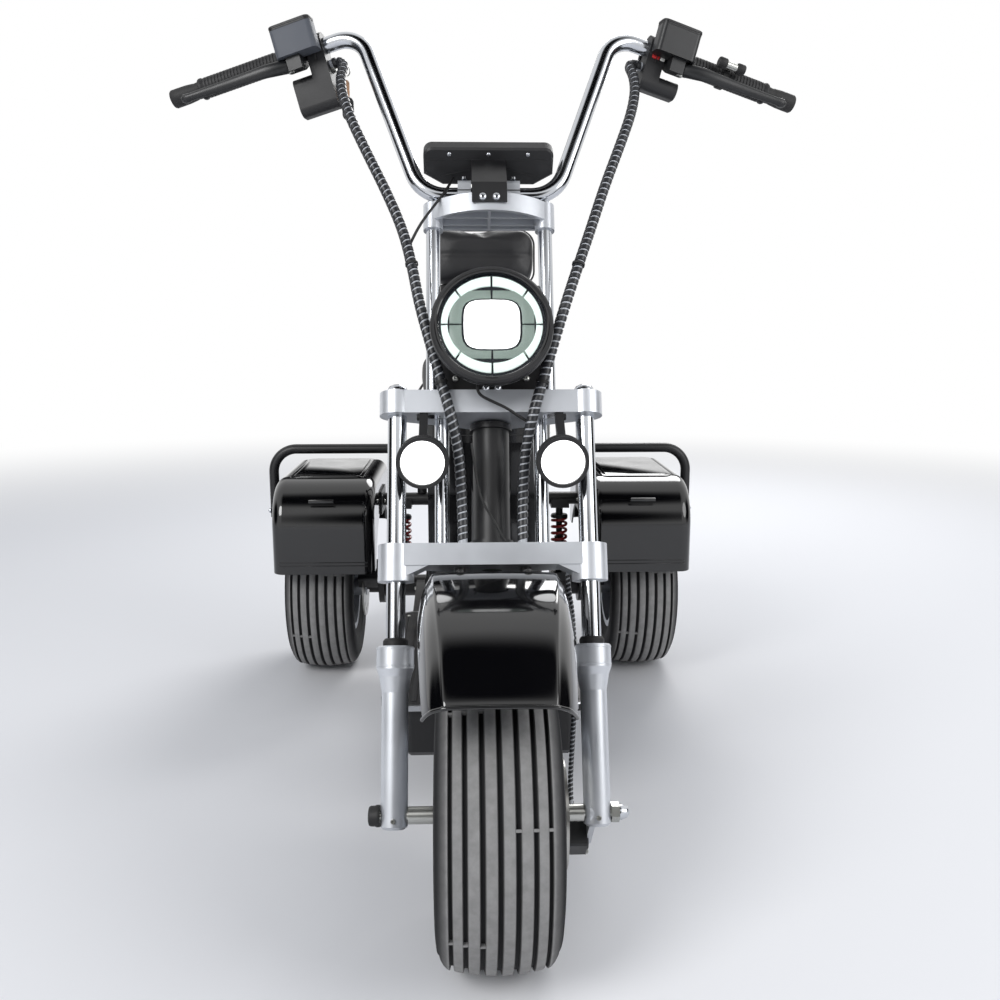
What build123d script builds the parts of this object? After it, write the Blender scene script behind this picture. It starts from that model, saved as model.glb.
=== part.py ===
from build123d import *
import os
from math import cos, pi, radians, sin, tan

# Electric tricycle with a raked twin-leg front fork, a flat step-through deck,
# a saddle over the battery housing and a motor-driven rear axle.
# Millimetres, +Z up, the vehicle faces -Y, its left side is +X.
# The origin lies on the ground under the middle of the overall length.

os.makedirs("parts", exist_ok=True)

# Overall layout
wheelbase = 1200.0
rear_overhang = 270.0
rear_track = 790.0
rake = 22.0
steering_offset = 45.0

# Tyres and rims, the same size on all three wheels
tyre_r = 203.0
tyre_half_w = 82.5
tyre_shoulder_half_w = 62.0
tyre_shoulder_drop = 7.0
bead_r = 103.0
flange_r = 112.0
flange_t = 5.7
rim_half_w = 70.0
rim_well_r = 84.0
rim_wall = 7.0
web_t = 16.0
hub_r = 31.0
window_count = 5
fit_gap = 0.05
seat_gap = 0.3

# Front axle
axle_r = 7.5
axle_nut_flats = 24.0
axle_nut_t = 11.0
spacer_r = 12.0
front_hub_half_w = 58.0

# Fork legs
fork_spacing = 283.0
stanchion_r = 14.0
slider_r = 19.0
slider_foot = -18.0
slider_neck = 168.0
slider_cap_r = 27.0
slider_cap_low = 201.0
slider_cap_high = 233.0
slider_bore_depth = 170.0
seal_r = 18.0
seal_h = 7.0

# Fork clamps, measured along the legs from the axle
lower_clamp_low = 325.0
lower_clamp_high = 379.0
lower_bridge_low = 347.0
middle_clamp_low = 575.0
middle_clamp_high = 610.0
top_clamp_low = 877.0
top_clamp_high = 920.0
top_plate_t = 30.0
top_wall_t = 6.0
top_skin_t = 7.0
top_rib_t = 4.0
clamp_boss_r = 26.5
wedge_run = 48.0
top_boss_r = 15.5
stem_boss_r = 36.0
stem_r = 15.0
upper_tube_r = 11.0
upper_tube_spacing = 175.0
brace_tube_spacing = 150.0
brace_tube_back = 22.0
brace_socket = 12.0
top_tube_cover = 6.0

# Head tube
head_tube_r = 28.0
head_flange_r = 32.5
head_flange_h = 9.0
head_play = 3.0

# Brake disc and caliper
disc_r = 76.0
disc_t = 4.0
disc_hole_r = 24.0
front_disc_x = 93.0
caliper_slot = 5.2
caliper_l = 62.0
caliper_h = 44.0
caliper_bridge = 8.0
caliper_inner_t = 9.0
caliper_outer_t = 34.0
caliper_lug_back = 62.0
caliper_lug_along = -30.0
caliper_lug_r = 20.0
caliper_lug_t = 8.0

# Handlebar, as corner points (across, behind the legs, along the legs)
bar_r = 12.7
bar_centre_s = 939.0
bar_bend_x = 107.0
bar_top_x = 208.0
bar_top_s = 1228.0
bar_tip_x = 528.0
bar_tip_back = 95.0
bar_tip_s = 1168.0
bar_back = 3.0
bar_low_bend_r = 55.0
bar_high_bend_r = 48.0
riser_spacing = 77.0
riser_w = 21.0
riser_l = 38.0
riser_over_bar = 6.0

# Controls, by their distance along the bar from its upper corner
pod_start = 62.0
pod_end = 92.0
pod_r = 22.0
pod_depth = 38.0
pod_foot_end = 128.0
pod_foot_high = -38.0
pod_drops = {1: 66.0, -1: 100.0}
perch_start = 96.0
perch_end = 120.0
perch_r = 19.0
perch_reach = 46.0
perch_drop = 23.0
perch_arm_h = 22.0
reservoir_w = 70.0
reservoir_d = 32.0
reservoir_low = -12.0
reservoir_high = 34.0
reservoir_along = 98.0
reservoir_ahead = 38.0
mirror_hole_r = 4.5
mirror_hole_depth = 14.0
mirror_hole_in = 11.0
grip_start = 138.0
grip_end = 290.0
grip_r = 16.5
bar_end_r = 13.0
lever_tip = 300.0
lever_reach = 52.0
lever_t = 11.0

# Cable bundles and brake hose
bundle_r = 8.5
hose_r = 4.0

# Lamps
lamp_r = 89.0
lamp_ring_r = 79.0
lamp_back_r = 52.0
lamp_depth = 78.0
lamp_s = 686.0
lamp_front = 96.0
lamp_lens_t = 6.0
lamp_plate_top = 785.0
spot_r = 37.0
spot_lens_r = 32.0
spot_depth = 50.0
spot_s = 513.0
spot_x = 101.0
spot_front = 68.0
spot_arm_t = 12.0
spot_lens_recess = 8.0

# Display
display_w = 206.0
display_h = 62.0
display_t = 22.0
display_s = 996.0
display_back = 4.0
display_tilt = 35.0
display_chamfer_w = 30.0
display_chamfer_h = 18.0
display_bracket_w = 54.0
display_bracket_t = 4.0

# Front fender
shell_t = 4.0
front_fender_r = 285.0
front_fender_arch = 2.0
front_fender_centre_back = 28.0
front_fender_crown_up = 332.0
front_fender_lug_sink = 5.0433
wheel_arch_gap = 19.0

# Deck, battery tray and body
tray_front = -292.0
tray_rear = 250.0
tray_half_w = 150.0
tray_low = 128.0
tray_high = 214.0
deck_half_w = 190.0
deck_t = 12.0
body_front = 60.0
body_rear = 392.0
body_half_w = 116.0
body_top_half_w = 130.0
body_flare_low = 590.0
body_flare_high = 640.0
body_lean = 30.0
body_top = 716.0
body_rear_low = 372.0
body_step_z = 530.0
body_edge_r = 26.0
backbone_r = 30.0

# Saddle and backrest
saddle_half_w = 138.0
seat_pan_t = 6.0
saddle_t = 98.0
saddle_front = 14.0
saddle_rear = 404.0
backrest_w = 250.0
backrest_h = 132.0
backrest_t = 56.0
backrest_y = 408.0
backrest_low = 954.0
backrest_lean = 8.0
backrest_tube_r = 11.0
backrest_tube_x = 80.0

# Rear axle, suspension and subframe
beam_r = 27.0
beam_end_x = 248.0
stub_r = 10.0
rear_hub_in = 48.0
rear_disc_in = 96.0
arm_x = 150.0
arm_half_w = 16.0
arm_h = 38.0
arm_pad_reach = 40.0
shock_x = 200.0
shock_pad_z = 238.0
shock_pad_w = 46.0
shock_pad_t = 6.0
shock_r = 22.0
shock_rod_r = 7.0
subframe_x = 80.0
subframe_tube_r = 16.0
subframe_over_tyre = 24.0
subframe_behind_axle = 75.5
motor_r = 76.0
motor_l = 108.0
motor_ahead = 124.0
motor_z = 218.0
gearbox_r = 86.0
gearbox_low_x = -20.0
gearbox_high_x = 50.0

# Rear fenders and grab bars
rear_fender_in_x = 252.0
rear_fender_out_x = 488.0
rear_fender_over_tyre = 105.0
rear_fender_front_z = 298.0
rear_fender_rear_z = 330.0
rear_fender_half_l = 248.0
rear_fender_corner_r = 105.0
rear_fender_edge_r = 26.0
grab_bar_r = 12.0
grab_bar_over_fender = 48.0
grab_bar_x = 522.0
grab_bar_foot_z = 386.0
grab_bar_in_x = 150.0
grab_bend_r = 58.0
tail_lamp_w = 96.0
tail_lamp_h = 54.0
tail_lamp_z = 370.0
plate_bracket_w = 190.0
plate_bracket_h = 112.0
plate_bracket_t = 3.0
plate_hole_spacing = 140.0
plate_hole_r = 3.0

# Derived places
overall_length = tyre_r + wheelbase + rear_overhang
front_axle_y = tyre_r - overall_length / 2
rear_axle_y = front_axle_y + wheelbase
axle_z = tyre_r
leg_x = fork_spacing / 2
caliper_mount_x = front_disc_x + caliper_slot / 2 + caliper_outer_t
half_track = rear_track / 2
front_fender_centre_up = front_fender_crown_up - front_fender_r
subframe_z = 2 * tyre_r + subframe_over_tyre
subframe_rear = rear_axle_y + subframe_behind_axle
rear_fender_top = 2 * tyre_r + rear_fender_over_tyre
grab_bar_z = rear_fender_top + grab_bar_over_fender
rake_sin = sin(radians(rake))
rake_cos = cos(radians(rake))
fork = Plane(origin=(0, front_axle_y, axle_z), x_dir=(1, 0, 0), z_dir=(0, rake_sin, rake_cos))
front_view = Plane(origin=fork.origin, x_dir=(1, 0, 0), z_dir=(0, -rake_cos, rake_sin))
side_view = Plane(origin=fork.origin, x_dir=(0, rake_cos, -rake_sin), z_dir=(1, 0, 0))


def fork_point(across, back, along):
    """A point given across the fork, behind its legs and along them from the axle."""
    y = front_axle_y + along * rake_sin + back * rake_cos
    z = axle_z + along * rake_cos - back * rake_sin
    return Vector(across, y, z)


def tube_plane(path):
    """The plane square to a path at its start."""
    return Plane(origin=path @ 0, z_dir=path % 0)


def bend_radii(points, share=0.45):
    """The largest even arc for each corner of a route, from its two runs and its turn."""
    radii = []
    for before, corner, after in zip(points, points[1:], points[2:]):
        first = Vector(*corner) - Vector(*before)
        second = Vector(*after) - Vector(*corner)
        turn = first.get_angle(second)
        radii.append(share * min(first.length, second.length) / tan(radians(turn) / 2))
    return radii


def save(shape, name):
    """Labels a finished piece and writes it to its own file."""
    shape.label = name
    export_step(shape, f"parts/{name}.step")


# Three wheels: each a tyre on a cast rim, with a brake disc on the inner or left side
wheels = [
    # name, centre x, axle y, side of the disc, disc x from the wheel's centre, hub half width
    ("front", 0.0, front_axle_y, 1, front_disc_x, front_hub_half_w),
    ("rear_left", half_track, rear_axle_y, -1, rear_disc_in, rear_hub_in),
    ("rear_right", -half_track, rear_axle_y, 1, rear_disc_in, rear_hub_in),
]

for name, wheel_x, wheel_y, disc_side, disc_x, hub_half_w in wheels:
    hub_bore_r = (axle_r if name == "front" else stub_r) + fit_gap
    section_plane = Plane(origin=(wheel_x, wheel_y, axle_z), x_dir=(1, 0, 0), z_dir=(0, -1, 0))
    side_plane = Plane(origin=(wheel_x, wheel_y, axle_z), x_dir=(0, 1, 0), z_dir=(1, 0, 0))
    axle_line = Axis((wheel_x, wheel_y, axle_z), (1, 0, 0))
    bead_half_w = rim_half_w - flange_t
    shoulder_r = tyre_r - tyre_shoulder_drop
    side_r = (tyre_r + bead_r) / 2 + 4

    # Tyre: bead faces inside the rim flanges, bulged sidewalls and a gently rounded crown
    with BuildPart() as tyre:
        with BuildSketch(section_plane):
            with BuildLine():
                Line((-bead_half_w, bead_r), (bead_half_w, bead_r))
                Line((bead_half_w, bead_r), (bead_half_w, flange_r))
                ThreePointArc((bead_half_w, flange_r), (tyre_half_w - 5, side_r - 28), (tyre_half_w, side_r))
                ThreePointArc((tyre_half_w, side_r), (tyre_half_w - 6, shoulder_r - 13), (tyre_shoulder_half_w, shoulder_r))
                ThreePointArc((tyre_shoulder_half_w, shoulder_r), (0, tyre_r), (-tyre_shoulder_half_w, shoulder_r))
                ThreePointArc((-tyre_shoulder_half_w, shoulder_r), (6 - tyre_half_w, shoulder_r - 13), (-tyre_half_w, side_r))
                ThreePointArc((-tyre_half_w, side_r), (5 - tyre_half_w, side_r - 28), (-bead_half_w, flange_r))
                Line((-bead_half_w, flange_r), (-bead_half_w, bead_r))
            make_face()
        revolve(axis=axle_line)
    save(tyre.part, f"{name}_tyre")

    # Rim: a drop-centre barrel, a web with windows between its spokes, and a bored hub
    seat_r = bead_r - seat_gap
    well_half_w = 34.0
    with BuildPart() as rim:
        with BuildSketch(section_plane):
            with BuildLine():
                Polyline(
                    (-rim_half_w, flange_r - 1),
                    (seat_gap - bead_half_w - 2 * seat_gap, flange_r - 1),
                    (-bead_half_w - seat_gap, seat_r),
                    (-well_half_w - 6, seat_r),
                    (-well_half_w, rim_well_r),
                    (well_half_w, rim_well_r),
                    (well_half_w + 6, seat_r),
                    (bead_half_w + seat_gap, seat_r),
                    (bead_half_w + seat_gap, flange_r - 1),
                    (rim_half_w, flange_r - 1),
                    (rim_half_w, seat_r - rim_wall),
                    (well_half_w + 8, seat_r - rim_wall),
                    (well_half_w + 2, rim_well_r - rim_wall),
                    (-well_half_w - 2, rim_well_r - rim_wall),
                    (-well_half_w - 8, seat_r - rim_wall),
                    (-rim_half_w, seat_r - rim_wall),
                    close=True,
                )
            make_face()
        revolve(axis=axle_line)
        with BuildSketch(side_plane.offset(-web_t / 2)):
            Circle(rim_well_r - rim_wall / 2)
            with PolarLocations(0, window_count):
                with BuildLine() as window:
                    spoke_deg = 24.0
                    inner_r = hub_r + 6
                    outer_r = rim_well_r - rim_wall - 6
                    start = spoke_deg / 2
                    end = 360 / window_count - spoke_deg / 2
                    inner_arc = CenterArc((0, 0), inner_r, start, end - start)
                    outer_arc = CenterArc((0, 0), outer_r, start, end - start)
                    Line(inner_arc @ 0, outer_arc @ 0)
                    Line(inner_arc @ 1, outer_arc @ 1)
                make_face(mode=Mode.SUBTRACT)
        extrude(amount=web_t)
        with BuildSketch(side_plane.offset(-hub_half_w)):
            Circle(hub_r)
        extrude(amount=2 * hub_half_w)
        with BuildSketch(side_plane.offset(disc_side * (hub_half_w + disc_x - disc_t / 2) / 2)):
            Circle(disc_hole_r - seat_gap)
        extrude(amount=(disc_x + disc_t / 2 + 4 - hub_half_w) / 2 + disc_t / 2, both=True)
        with BuildSketch(side_plane):
            Circle(hub_bore_r)
        extrude(amount=2 * disc_x, both=True, mode=Mode.SUBTRACT)
    save(rim.part, f"{name}_rim")

    # Brake disc: a flat rotor with a ring of cooling holes
    with BuildPart() as disc:
        with BuildSketch(side_plane.offset(disc_side * disc_x - disc_t / 2)):
            Circle(disc_r)
            Circle(disc_hole_r, mode=Mode.SUBTRACT)
            with PolarLocations(disc_r - 16, 10):
                Circle(5.5, mode=Mode.SUBTRACT)
        extrude(amount=disc_t)
    save(disc.part, f"{name}_brake_disc")

# Front axle: a rod through both fork feet, with a nut at each end and a spacer beside the hub
foot_half_w = leg_x + slider_r
axle_plane = Plane(origin=(0, front_axle_y, axle_z), x_dir=(0, 1, 0), z_dir=(1, 0, 0))
with BuildPart() as front_axle:
    with BuildSketch(axle_plane):
        Circle(axle_r)
    extrude(amount=foot_half_w + axle_nut_t + 2, both=True)
    for side in (-1, 1):
        with BuildSketch(axle_plane.offset(side * (foot_half_w + seat_gap + axle_nut_t / 2))):
            RegularPolygon(axle_nut_flats / 2, 6, major_radius=False)
        extrude(amount=axle_nut_t / 2, both=True)
    spacer_out = leg_x - slider_r - seat_gap
    for start, end in ((-spacer_out, -front_hub_half_w - 1), (front_disc_x + disc_t + 5, spacer_out)):
        with BuildSketch(axle_plane.offset(start)):
            Circle(spacer_r)
        extrude(amount=end - start)
save(front_axle.part, "front_axle")

# Fork sliders: cast lower legs, bored for the stanchions, with a wide collar at the top
for side_name, side in (("left", 1), ("right", -1)):
    leg_plane = Plane(
        origin=fork_point(side * leg_x, 0, 0),
        x_dir=(1, 0, 0),
        z_dir=(0, rake_sin, rake_cos),
    )
    profile_plane = Plane(origin=leg_plane.origin, x_dir=(1, 0, 0), z_dir=(0, -rake_cos, rake_sin))
    leg_line = Axis(leg_plane.origin, leg_plane.z_dir)
    with BuildPart() as slider:
        with BuildSketch(profile_plane):
            with BuildLine():
                Polyline(
                    (0, slider_foot),
                    (slider_r - 4, slider_foot),
                    (slider_r, slider_foot + 4),
                    (slider_r, slider_neck),
                    (slider_r + 4, slider_neck + 22),
                    (slider_cap_r, slider_cap_low),
                    (slider_cap_r, slider_cap_high - 2),
                    (slider_cap_r - 2, slider_cap_high),
                    (0, slider_cap_high),
                    close=True,
                )
            make_face()
        revolve(axis=leg_line)
        if side_name == "left":
            with BuildSketch(side_view.offset(caliper_mount_x)):
                Circle(slider_r - 1)
                with Locations((caliper_lug_back, caliper_lug_along)):
                    Circle(caliper_lug_r)
                make_hull()
            extrude(amount=caliper_lug_t)
        with BuildSketch(leg_plane.offset(slider_cap_high - slider_bore_depth)):
            Circle(stanchion_r + fit_gap)
        extrude(amount=slider_bore_depth, mode=Mode.SUBTRACT)
        with BuildSketch(axle_plane):
            Circle(axle_r + fit_gap)
        extrude(amount=foot_half_w, both=True, mode=Mode.SUBTRACT)
    save(slider.part, f"fork_slider_{side_name}")

# Stanchions: chrome tubes from inside the sliders up to the middle clamp
with BuildPart() as stanchions:
    with BuildSketch(fork.offset(slider_cap_high - slider_bore_depth + seat_gap)):
        with Locations((-leg_x, 0), (leg_x, 0)):
            Circle(stanchion_r)
    extrude(amount=middle_clamp_high - (slider_cap_high - slider_bore_depth + seat_gap) + 3)
save(stanchions.part, "fork_stanchions")

# Dust seals on the sliders
with BuildPart() as seals:
    with BuildSketch(fork.offset(slider_cap_high)):
        with Locations((-leg_x, 0), (leg_x, 0)):
            Circle(seal_r)
            Circle(stanchion_r + fit_gap, mode=Mode.SUBTRACT)
    extrude(amount=seal_h)
save(seals.part, "fork_dust_seals")

# Lower and middle clamps: cast bridges from leg to leg, bored for legs, brace tubes and stem
clamps = [
    # name, boss low, boss high, bridge low, tubes between the legs
    ("lower_clamp", lower_clamp_low, lower_clamp_high, lower_bridge_low, brace_tube_spacing),
    ("middle_clamp", middle_clamp_low, middle_clamp_high, middle_clamp_low, upper_tube_spacing),
]
for name, boss_low, boss_high, bridge_low, tube_spacing in clamps:
    with BuildPart() as clamp:
        with BuildSketch(fork.offset(bridge_low)):
            with Locations((-leg_x, 0), (leg_x, 0)):
                Circle(clamp_boss_r - 3)
            with Locations((0, steering_offset)):
                Circle(stem_boss_r)
            make_hull()
        extrude(amount=boss_high - bridge_low)
        with BuildSketch(fork.offset(boss_low)):
            with Locations((-leg_x, 0), (leg_x, 0)):
                Circle(clamp_boss_r)
        extrude(amount=boss_high - boss_low)
        if name == "lower_clamp":
            for side in (-1, 1):
                with BuildSketch(front_view):
                    with BuildLine():
                        Polyline(
                            (side * leg_x, boss_low),
                            (side * (leg_x - wedge_run), bridge_low),
                            (side * leg_x, bridge_low),
                            close=True,
                        )
                    make_face()
                extrude(amount=clamp_boss_r - 5, both=True)
        with BuildSketch(fork.offset(boss_low)):
            with Locations((-leg_x, 0), (leg_x, 0)):
                Circle(stanchion_r + fit_gap)
            with Locations((0, steering_offset)):
                Circle(stem_r + fit_gap)
        extrude(amount=boss_high - boss_low, mode=Mode.SUBTRACT)
        if name == "lower_clamp":
            with BuildSketch(fork.offset(boss_high - brace_socket)):
                with Locations((-tube_spacing / 2, brace_tube_back), (tube_spacing / 2, brace_tube_back)):
                    Circle(upper_tube_r + fit_gap)
            extrude(amount=brace_socket, mode=Mode.SUBTRACT)
        else:
            with BuildSketch(fork.offset(boss_low)):
                with Locations((-tube_spacing / 2, 0), (tube_spacing / 2, 0)):
                    Circle(upper_tube_r + fit_gap)
            extrude(amount=boss_high - boss_low, mode=Mode.SUBTRACT)
    save(clamp.part, name)

# Thin tubes between the legs: short braces under the middle clamp and the long pair above it
with BuildPart() as thin_tubes:
    with BuildSketch(fork.offset(lower_clamp_high - brace_socket + seat_gap)):
        with Locations((-brace_tube_spacing / 2, brace_tube_back), (brace_tube_spacing / 2, brace_tube_back)):
            Circle(upper_tube_r)
    extrude(amount=middle_clamp_low - lower_clamp_high + brace_socket - 2 * seat_gap)
    with BuildSketch(fork.offset(middle_clamp_low)):
        with Locations((-upper_tube_spacing / 2, 0), (upper_tube_spacing / 2, 0)):
            Circle(upper_tube_r)
    extrude(amount=top_clamp_high - middle_clamp_low - top_tube_cover)
save(thin_tubes.part, "fork_thin_tubes")

# Top clamp: an arched plate with a boss round each upper tube and ribs beneath
top_reach = 46.0
with BuildPart() as top_clamp:
    with BuildSketch(fork.offset(top_clamp_high - top_plate_t)):
        with Locations((-upper_tube_spacing / 2, 0), (upper_tube_spacing / 2, 0)):
            Circle(top_boss_r)
        with BuildLine():
            ThreePointArc(
                (-upper_tube_spacing / 2 - top_boss_r, 0),
                (0, -top_reach),
                (upper_tube_spacing / 2 + top_boss_r, 0),
            )
            Line(
                (upper_tube_spacing / 2 + top_boss_r, 0),
                (upper_tube_spacing / 2, top_boss_r + 8),
            )
            Line(
                (upper_tube_spacing / 2, top_boss_r + 8),
                (-upper_tube_spacing / 2, top_boss_r + 8),
            )
            Line(
                (-upper_tube_spacing / 2, top_boss_r + 8),
                (-upper_tube_spacing / 2 - top_boss_r, 0),
            )
        top_outline = make_face()
    extrude(amount=top_plate_t)
    with BuildSketch(fork.offset(top_clamp_high - top_plate_t)) as pocket:
        add(top_outline)
        offset(amount=-top_wall_t, mode=Mode.REPLACE)
        for back in (6, -18):
            with Locations((0, back)):
                Rectangle(2 * upper_tube_spacing, top_rib_t, mode=Mode.SUBTRACT)
        Rectangle(top_rib_t, 2 * upper_tube_spacing, mode=Mode.SUBTRACT)
    extrude(amount=top_plate_t - top_skin_t, mode=Mode.SUBTRACT)
    with BuildSketch(fork.offset(top_clamp_low)):
        with Locations((-upper_tube_spacing / 2, 0), (upper_tube_spacing / 2, 0)):
            Circle(top_boss_r)
    extrude(amount=top_clamp_high - top_clamp_low - top_plate_t / 2)
    with BuildSketch(fork.offset(top_clamp_low)):
        with Locations((-upper_tube_spacing / 2, 0), (upper_tube_spacing / 2, 0)):
            Circle(upper_tube_r + fit_gap)
    extrude(amount=top_clamp_high - top_clamp_low - top_tube_cover + seat_gap, mode=Mode.SUBTRACT)
save(top_clamp.part, "top_clamp")

# Steering stem between the lower and middle clamps, inside the head tube
with BuildPart() as stem:
    with BuildSketch(fork.offset(lower_bridge_low)):
        with Locations((0, steering_offset)):
            Circle(stem_r)
    extrude(amount=middle_clamp_high - lower_bridge_low + 4)
save(stem.part, "steering_stem")

# Head tube with bearing cups, and the backbone down to the battery tray
head_low = lower_clamp_high + head_play
head_high = middle_clamp_low - head_play
head_centre = fork_point(0, steering_offset, (head_low + head_high) / 2)
backbone_foot = Vector(0, tray_front + 46, tray_high - 20)
with BuildPart() as backbone:
    with BuildLine() as backbone_path:
        FilletPolyline(
            head_centre,
            (0, head_centre.Y + 104, head_centre.Z - 70),
            (0, backbone_foot.Y, backbone_foot.Z + 130),
            backbone_foot,
            radius=[40, 90],
        )
    with BuildSketch(tube_plane(backbone_path.line)):
        Circle(backbone_r)
    sweep()
    with BuildSketch(fork.offset(head_low)):
        with Locations((0, steering_offset)):
            Circle(head_tube_r)
    extrude(amount=head_high - head_low)
    with BuildSketch(fork.offset(head_low)):
        with Locations((0, steering_offset)):
            Circle(head_flange_r)
    extrude(amount=head_flange_h)
    with BuildSketch(fork.offset(head_high - head_flange_h)):
        with Locations((0, steering_offset)):
            Circle(head_flange_r)
    extrude(amount=head_flange_h)
    with BuildSketch(fork.offset(head_low)):
        with Locations((0, steering_offset)):
            Circle(stem_r + fit_gap)
    extrude(amount=head_high - head_low, mode=Mode.SUBTRACT)
    split(bisect_by=Plane.XY.offset(tray_high), keep=Keep.TOP)
save(backbone.part, "frame_backbone")

# Headlight: a bowl with a wide bezel ring, its lens, and a plate between the upper tubes
lamp_centre = fork_point(0, 0, lamp_s)
lamp_plane = Plane(origin=lamp_centre, x_dir=(1, 0, 0), z_dir=(0, -rake_cos, rake_sin))
with BuildPart() as lamp_shell:
    with BuildSketch(Plane(origin=lamp_centre, x_dir=(1, 0, 0), z_dir=(0, -rake_sin, -rake_cos))):
        with BuildLine():
            Polyline(
                (0, lamp_front - lamp_depth),
                (lamp_back_r, lamp_front - lamp_depth),
                (lamp_r - 6, lamp_front - 26),
                (lamp_r, lamp_front - 14),
                (lamp_r, lamp_front - 3),
                (lamp_r - 3, lamp_front),
                (lamp_ring_r, lamp_front),
                (lamp_ring_r, lamp_front - lamp_lens_t - 2),
                (0, lamp_front - lamp_lens_t - 2),
                close=True,
            )
        make_face()
    revolve(axis=Axis(lamp_centre, lamp_plane.z_dir))
save(lamp_shell.part, "headlight_shell")

with BuildPart() as lamp_lens:
    with BuildSketch(lamp_plane.offset(lamp_front - lamp_lens_t - 2)):
        Circle(lamp_ring_r - seat_gap)
    extrude(amount=lamp_lens_t)
save(lamp_lens.part, "headlight_lens")

bracket_t = 5.0
bracket_w = upper_tube_spacing - 2 * upper_tube_r - 2 * seat_gap
bracket_low = middle_clamp_high - lamp_s
bracket_high = lamp_plate_top - lamp_s
with BuildPart() as lamp_bracket:
    with BuildSketch(lamp_plane.offset(-bracket_t / 2)):
        with Locations((0, (bracket_low + bracket_high) / 2)):
            Rectangle(bracket_w, bracket_high - bracket_low)
    extrude(amount=bracket_t)
    with BuildSketch(lamp_plane.offset(bracket_t / 2)):
        Circle(18)
    extrude(amount=lamp_front - lamp_depth - bracket_t / 2)
save(lamp_bracket.part, "headlight_bracket")

# Spot lamps: a pair of small round lamps on arms under the middle clamp
spot_profile = (
    # radius, distance ahead of the fork
    (0, spot_front - spot_depth),
    (spot_r - 14, spot_front - spot_depth),
    (spot_r, spot_front - 30),
    (spot_r, spot_front),
    (spot_lens_r, spot_front),
    (spot_lens_r, spot_front - spot_lens_recess),
    (0, spot_front - spot_lens_recess),
)
with BuildPart() as spots:
    for side in (-1, 1):
        spot_centre = fork_point(side * spot_x, 0, spot_s)
        with BuildSketch(Plane(origin=spot_centre, x_dir=(1, 0, 0), z_dir=(0, 0, 1))):
            with BuildLine():
                Polyline(*((radius, -ahead) for radius, ahead in spot_profile), close=True)
            make_face()
        revolve(axis=Axis(spot_centre, (0, -1, 0)))
        with BuildSketch(side_view.offset(side * spot_x - spot_arm_t / 2)):
            with BuildLine():
                Polyline(
                    (-22, middle_clamp_low),
                    (-6, middle_clamp_low),
                    (-36, spot_s + 7),
                    (-54, spot_s + 7),
                    close=True,
                )
            make_face()
        extrude(amount=spot_arm_t)
save(spots.part, "spot_lamps")

with BuildPart() as spot_lenses:
    for side in (-1, 1):
        spot_plane = Plane(origin=fork_point(side * spot_x, 0, spot_s), x_dir=(1, 0, 0), z_dir=(0, -1, 0))
        with BuildSketch(spot_plane.offset(spot_front - spot_lens_recess)):
            Circle(spot_lens_r - seat_gap)
        extrude(amount=spot_lens_recess - 2)
save(spot_lenses.part, "spot_lenses")

# Handlebar: one bent tube, low across the risers, high at the shoulders, swept back at the grips
bar_points = []
for x, back, along in (
    (-bar_tip_x, bar_tip_back, bar_tip_s),
    (-bar_top_x, bar_back, bar_top_s),
    (-bar_bend_x, bar_back, bar_centre_s),
    (bar_bend_x, bar_back, bar_centre_s),
    (bar_top_x, bar_back, bar_top_s),
    (bar_tip_x, bar_tip_back, bar_tip_s),
):
    bar_points.append(fork_point(x, back, along))
with BuildPart() as handlebar:
    with BuildLine() as bar_path:
        FilletPolyline(*bar_points, radius=[bar_high_bend_r, bar_low_bend_r, bar_low_bend_r, bar_high_bend_r])
    with BuildSketch(tube_plane(bar_path.line)):
        Circle(bar_r)
    sweep()
save(handlebar.part, "handlebar")

# Risers: two split blocks that hold the bar on the top clamp
with BuildPart() as risers:
    for side in (-1, 1):
        riser_plane = Plane(
            origin=fork_point(side * riser_spacing / 2, bar_back, bar_centre_s),
            x_dir=(0, rake_cos, -rake_sin),
            z_dir=(1, 0, 0),
        )
        riser_low = top_clamp_high - bar_centre_s
        riser_high = bar_r + riser_over_bar
        with BuildSketch(riser_plane):
            with Locations((0, (riser_low + riser_high) / 2)):
                RectangleRounded(riser_l, riser_high - riser_low, 6)
            with Locations((0, riser_low + 4)):
                Rectangle(riser_l, 8)
            Circle(bar_r + fit_gap, mode=Mode.SUBTRACT)
        extrude(amount=riser_w / 2, both=True)
save(risers.part, "bar_risers")

# Display: a flat case with cut lower corners, tilted up towards the rider
tilt_cos = cos(radians(display_tilt))
tilt_sin = sin(radians(display_tilt))
display_plane = Plane(
    origin=fork_point(0, display_back, display_s),
    x_dir=(1, 0, 0),
    z_dir=(0, -tilt_cos, -tilt_sin),
)
with BuildPart() as display:
    with BuildSketch(display_plane.offset(-display_t / 2)):
        with BuildLine():
            Polyline(
                (-display_w / 2, display_h / 2),
                (display_w / 2, display_h / 2),
                (display_w / 2, display_chamfer_h - display_h / 2),
                (display_w / 2 - display_chamfer_w, -display_h / 2),
                (display_chamfer_w - display_w / 2, -display_h / 2),
                (-display_w / 2, display_chamfer_h - display_h / 2),
                close=True,
            )
        case_face = make_face()
        fillet(case_face.vertices().group_by(Axis.Y)[-1], radius=14)
    extrude(amount=display_t)
    chamfer(display.faces().filter_by(GeomType.PLANE).sort_by(SortBy.AREA)[-1].edges(), length=3)
save(display.part, "display_case")

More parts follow.
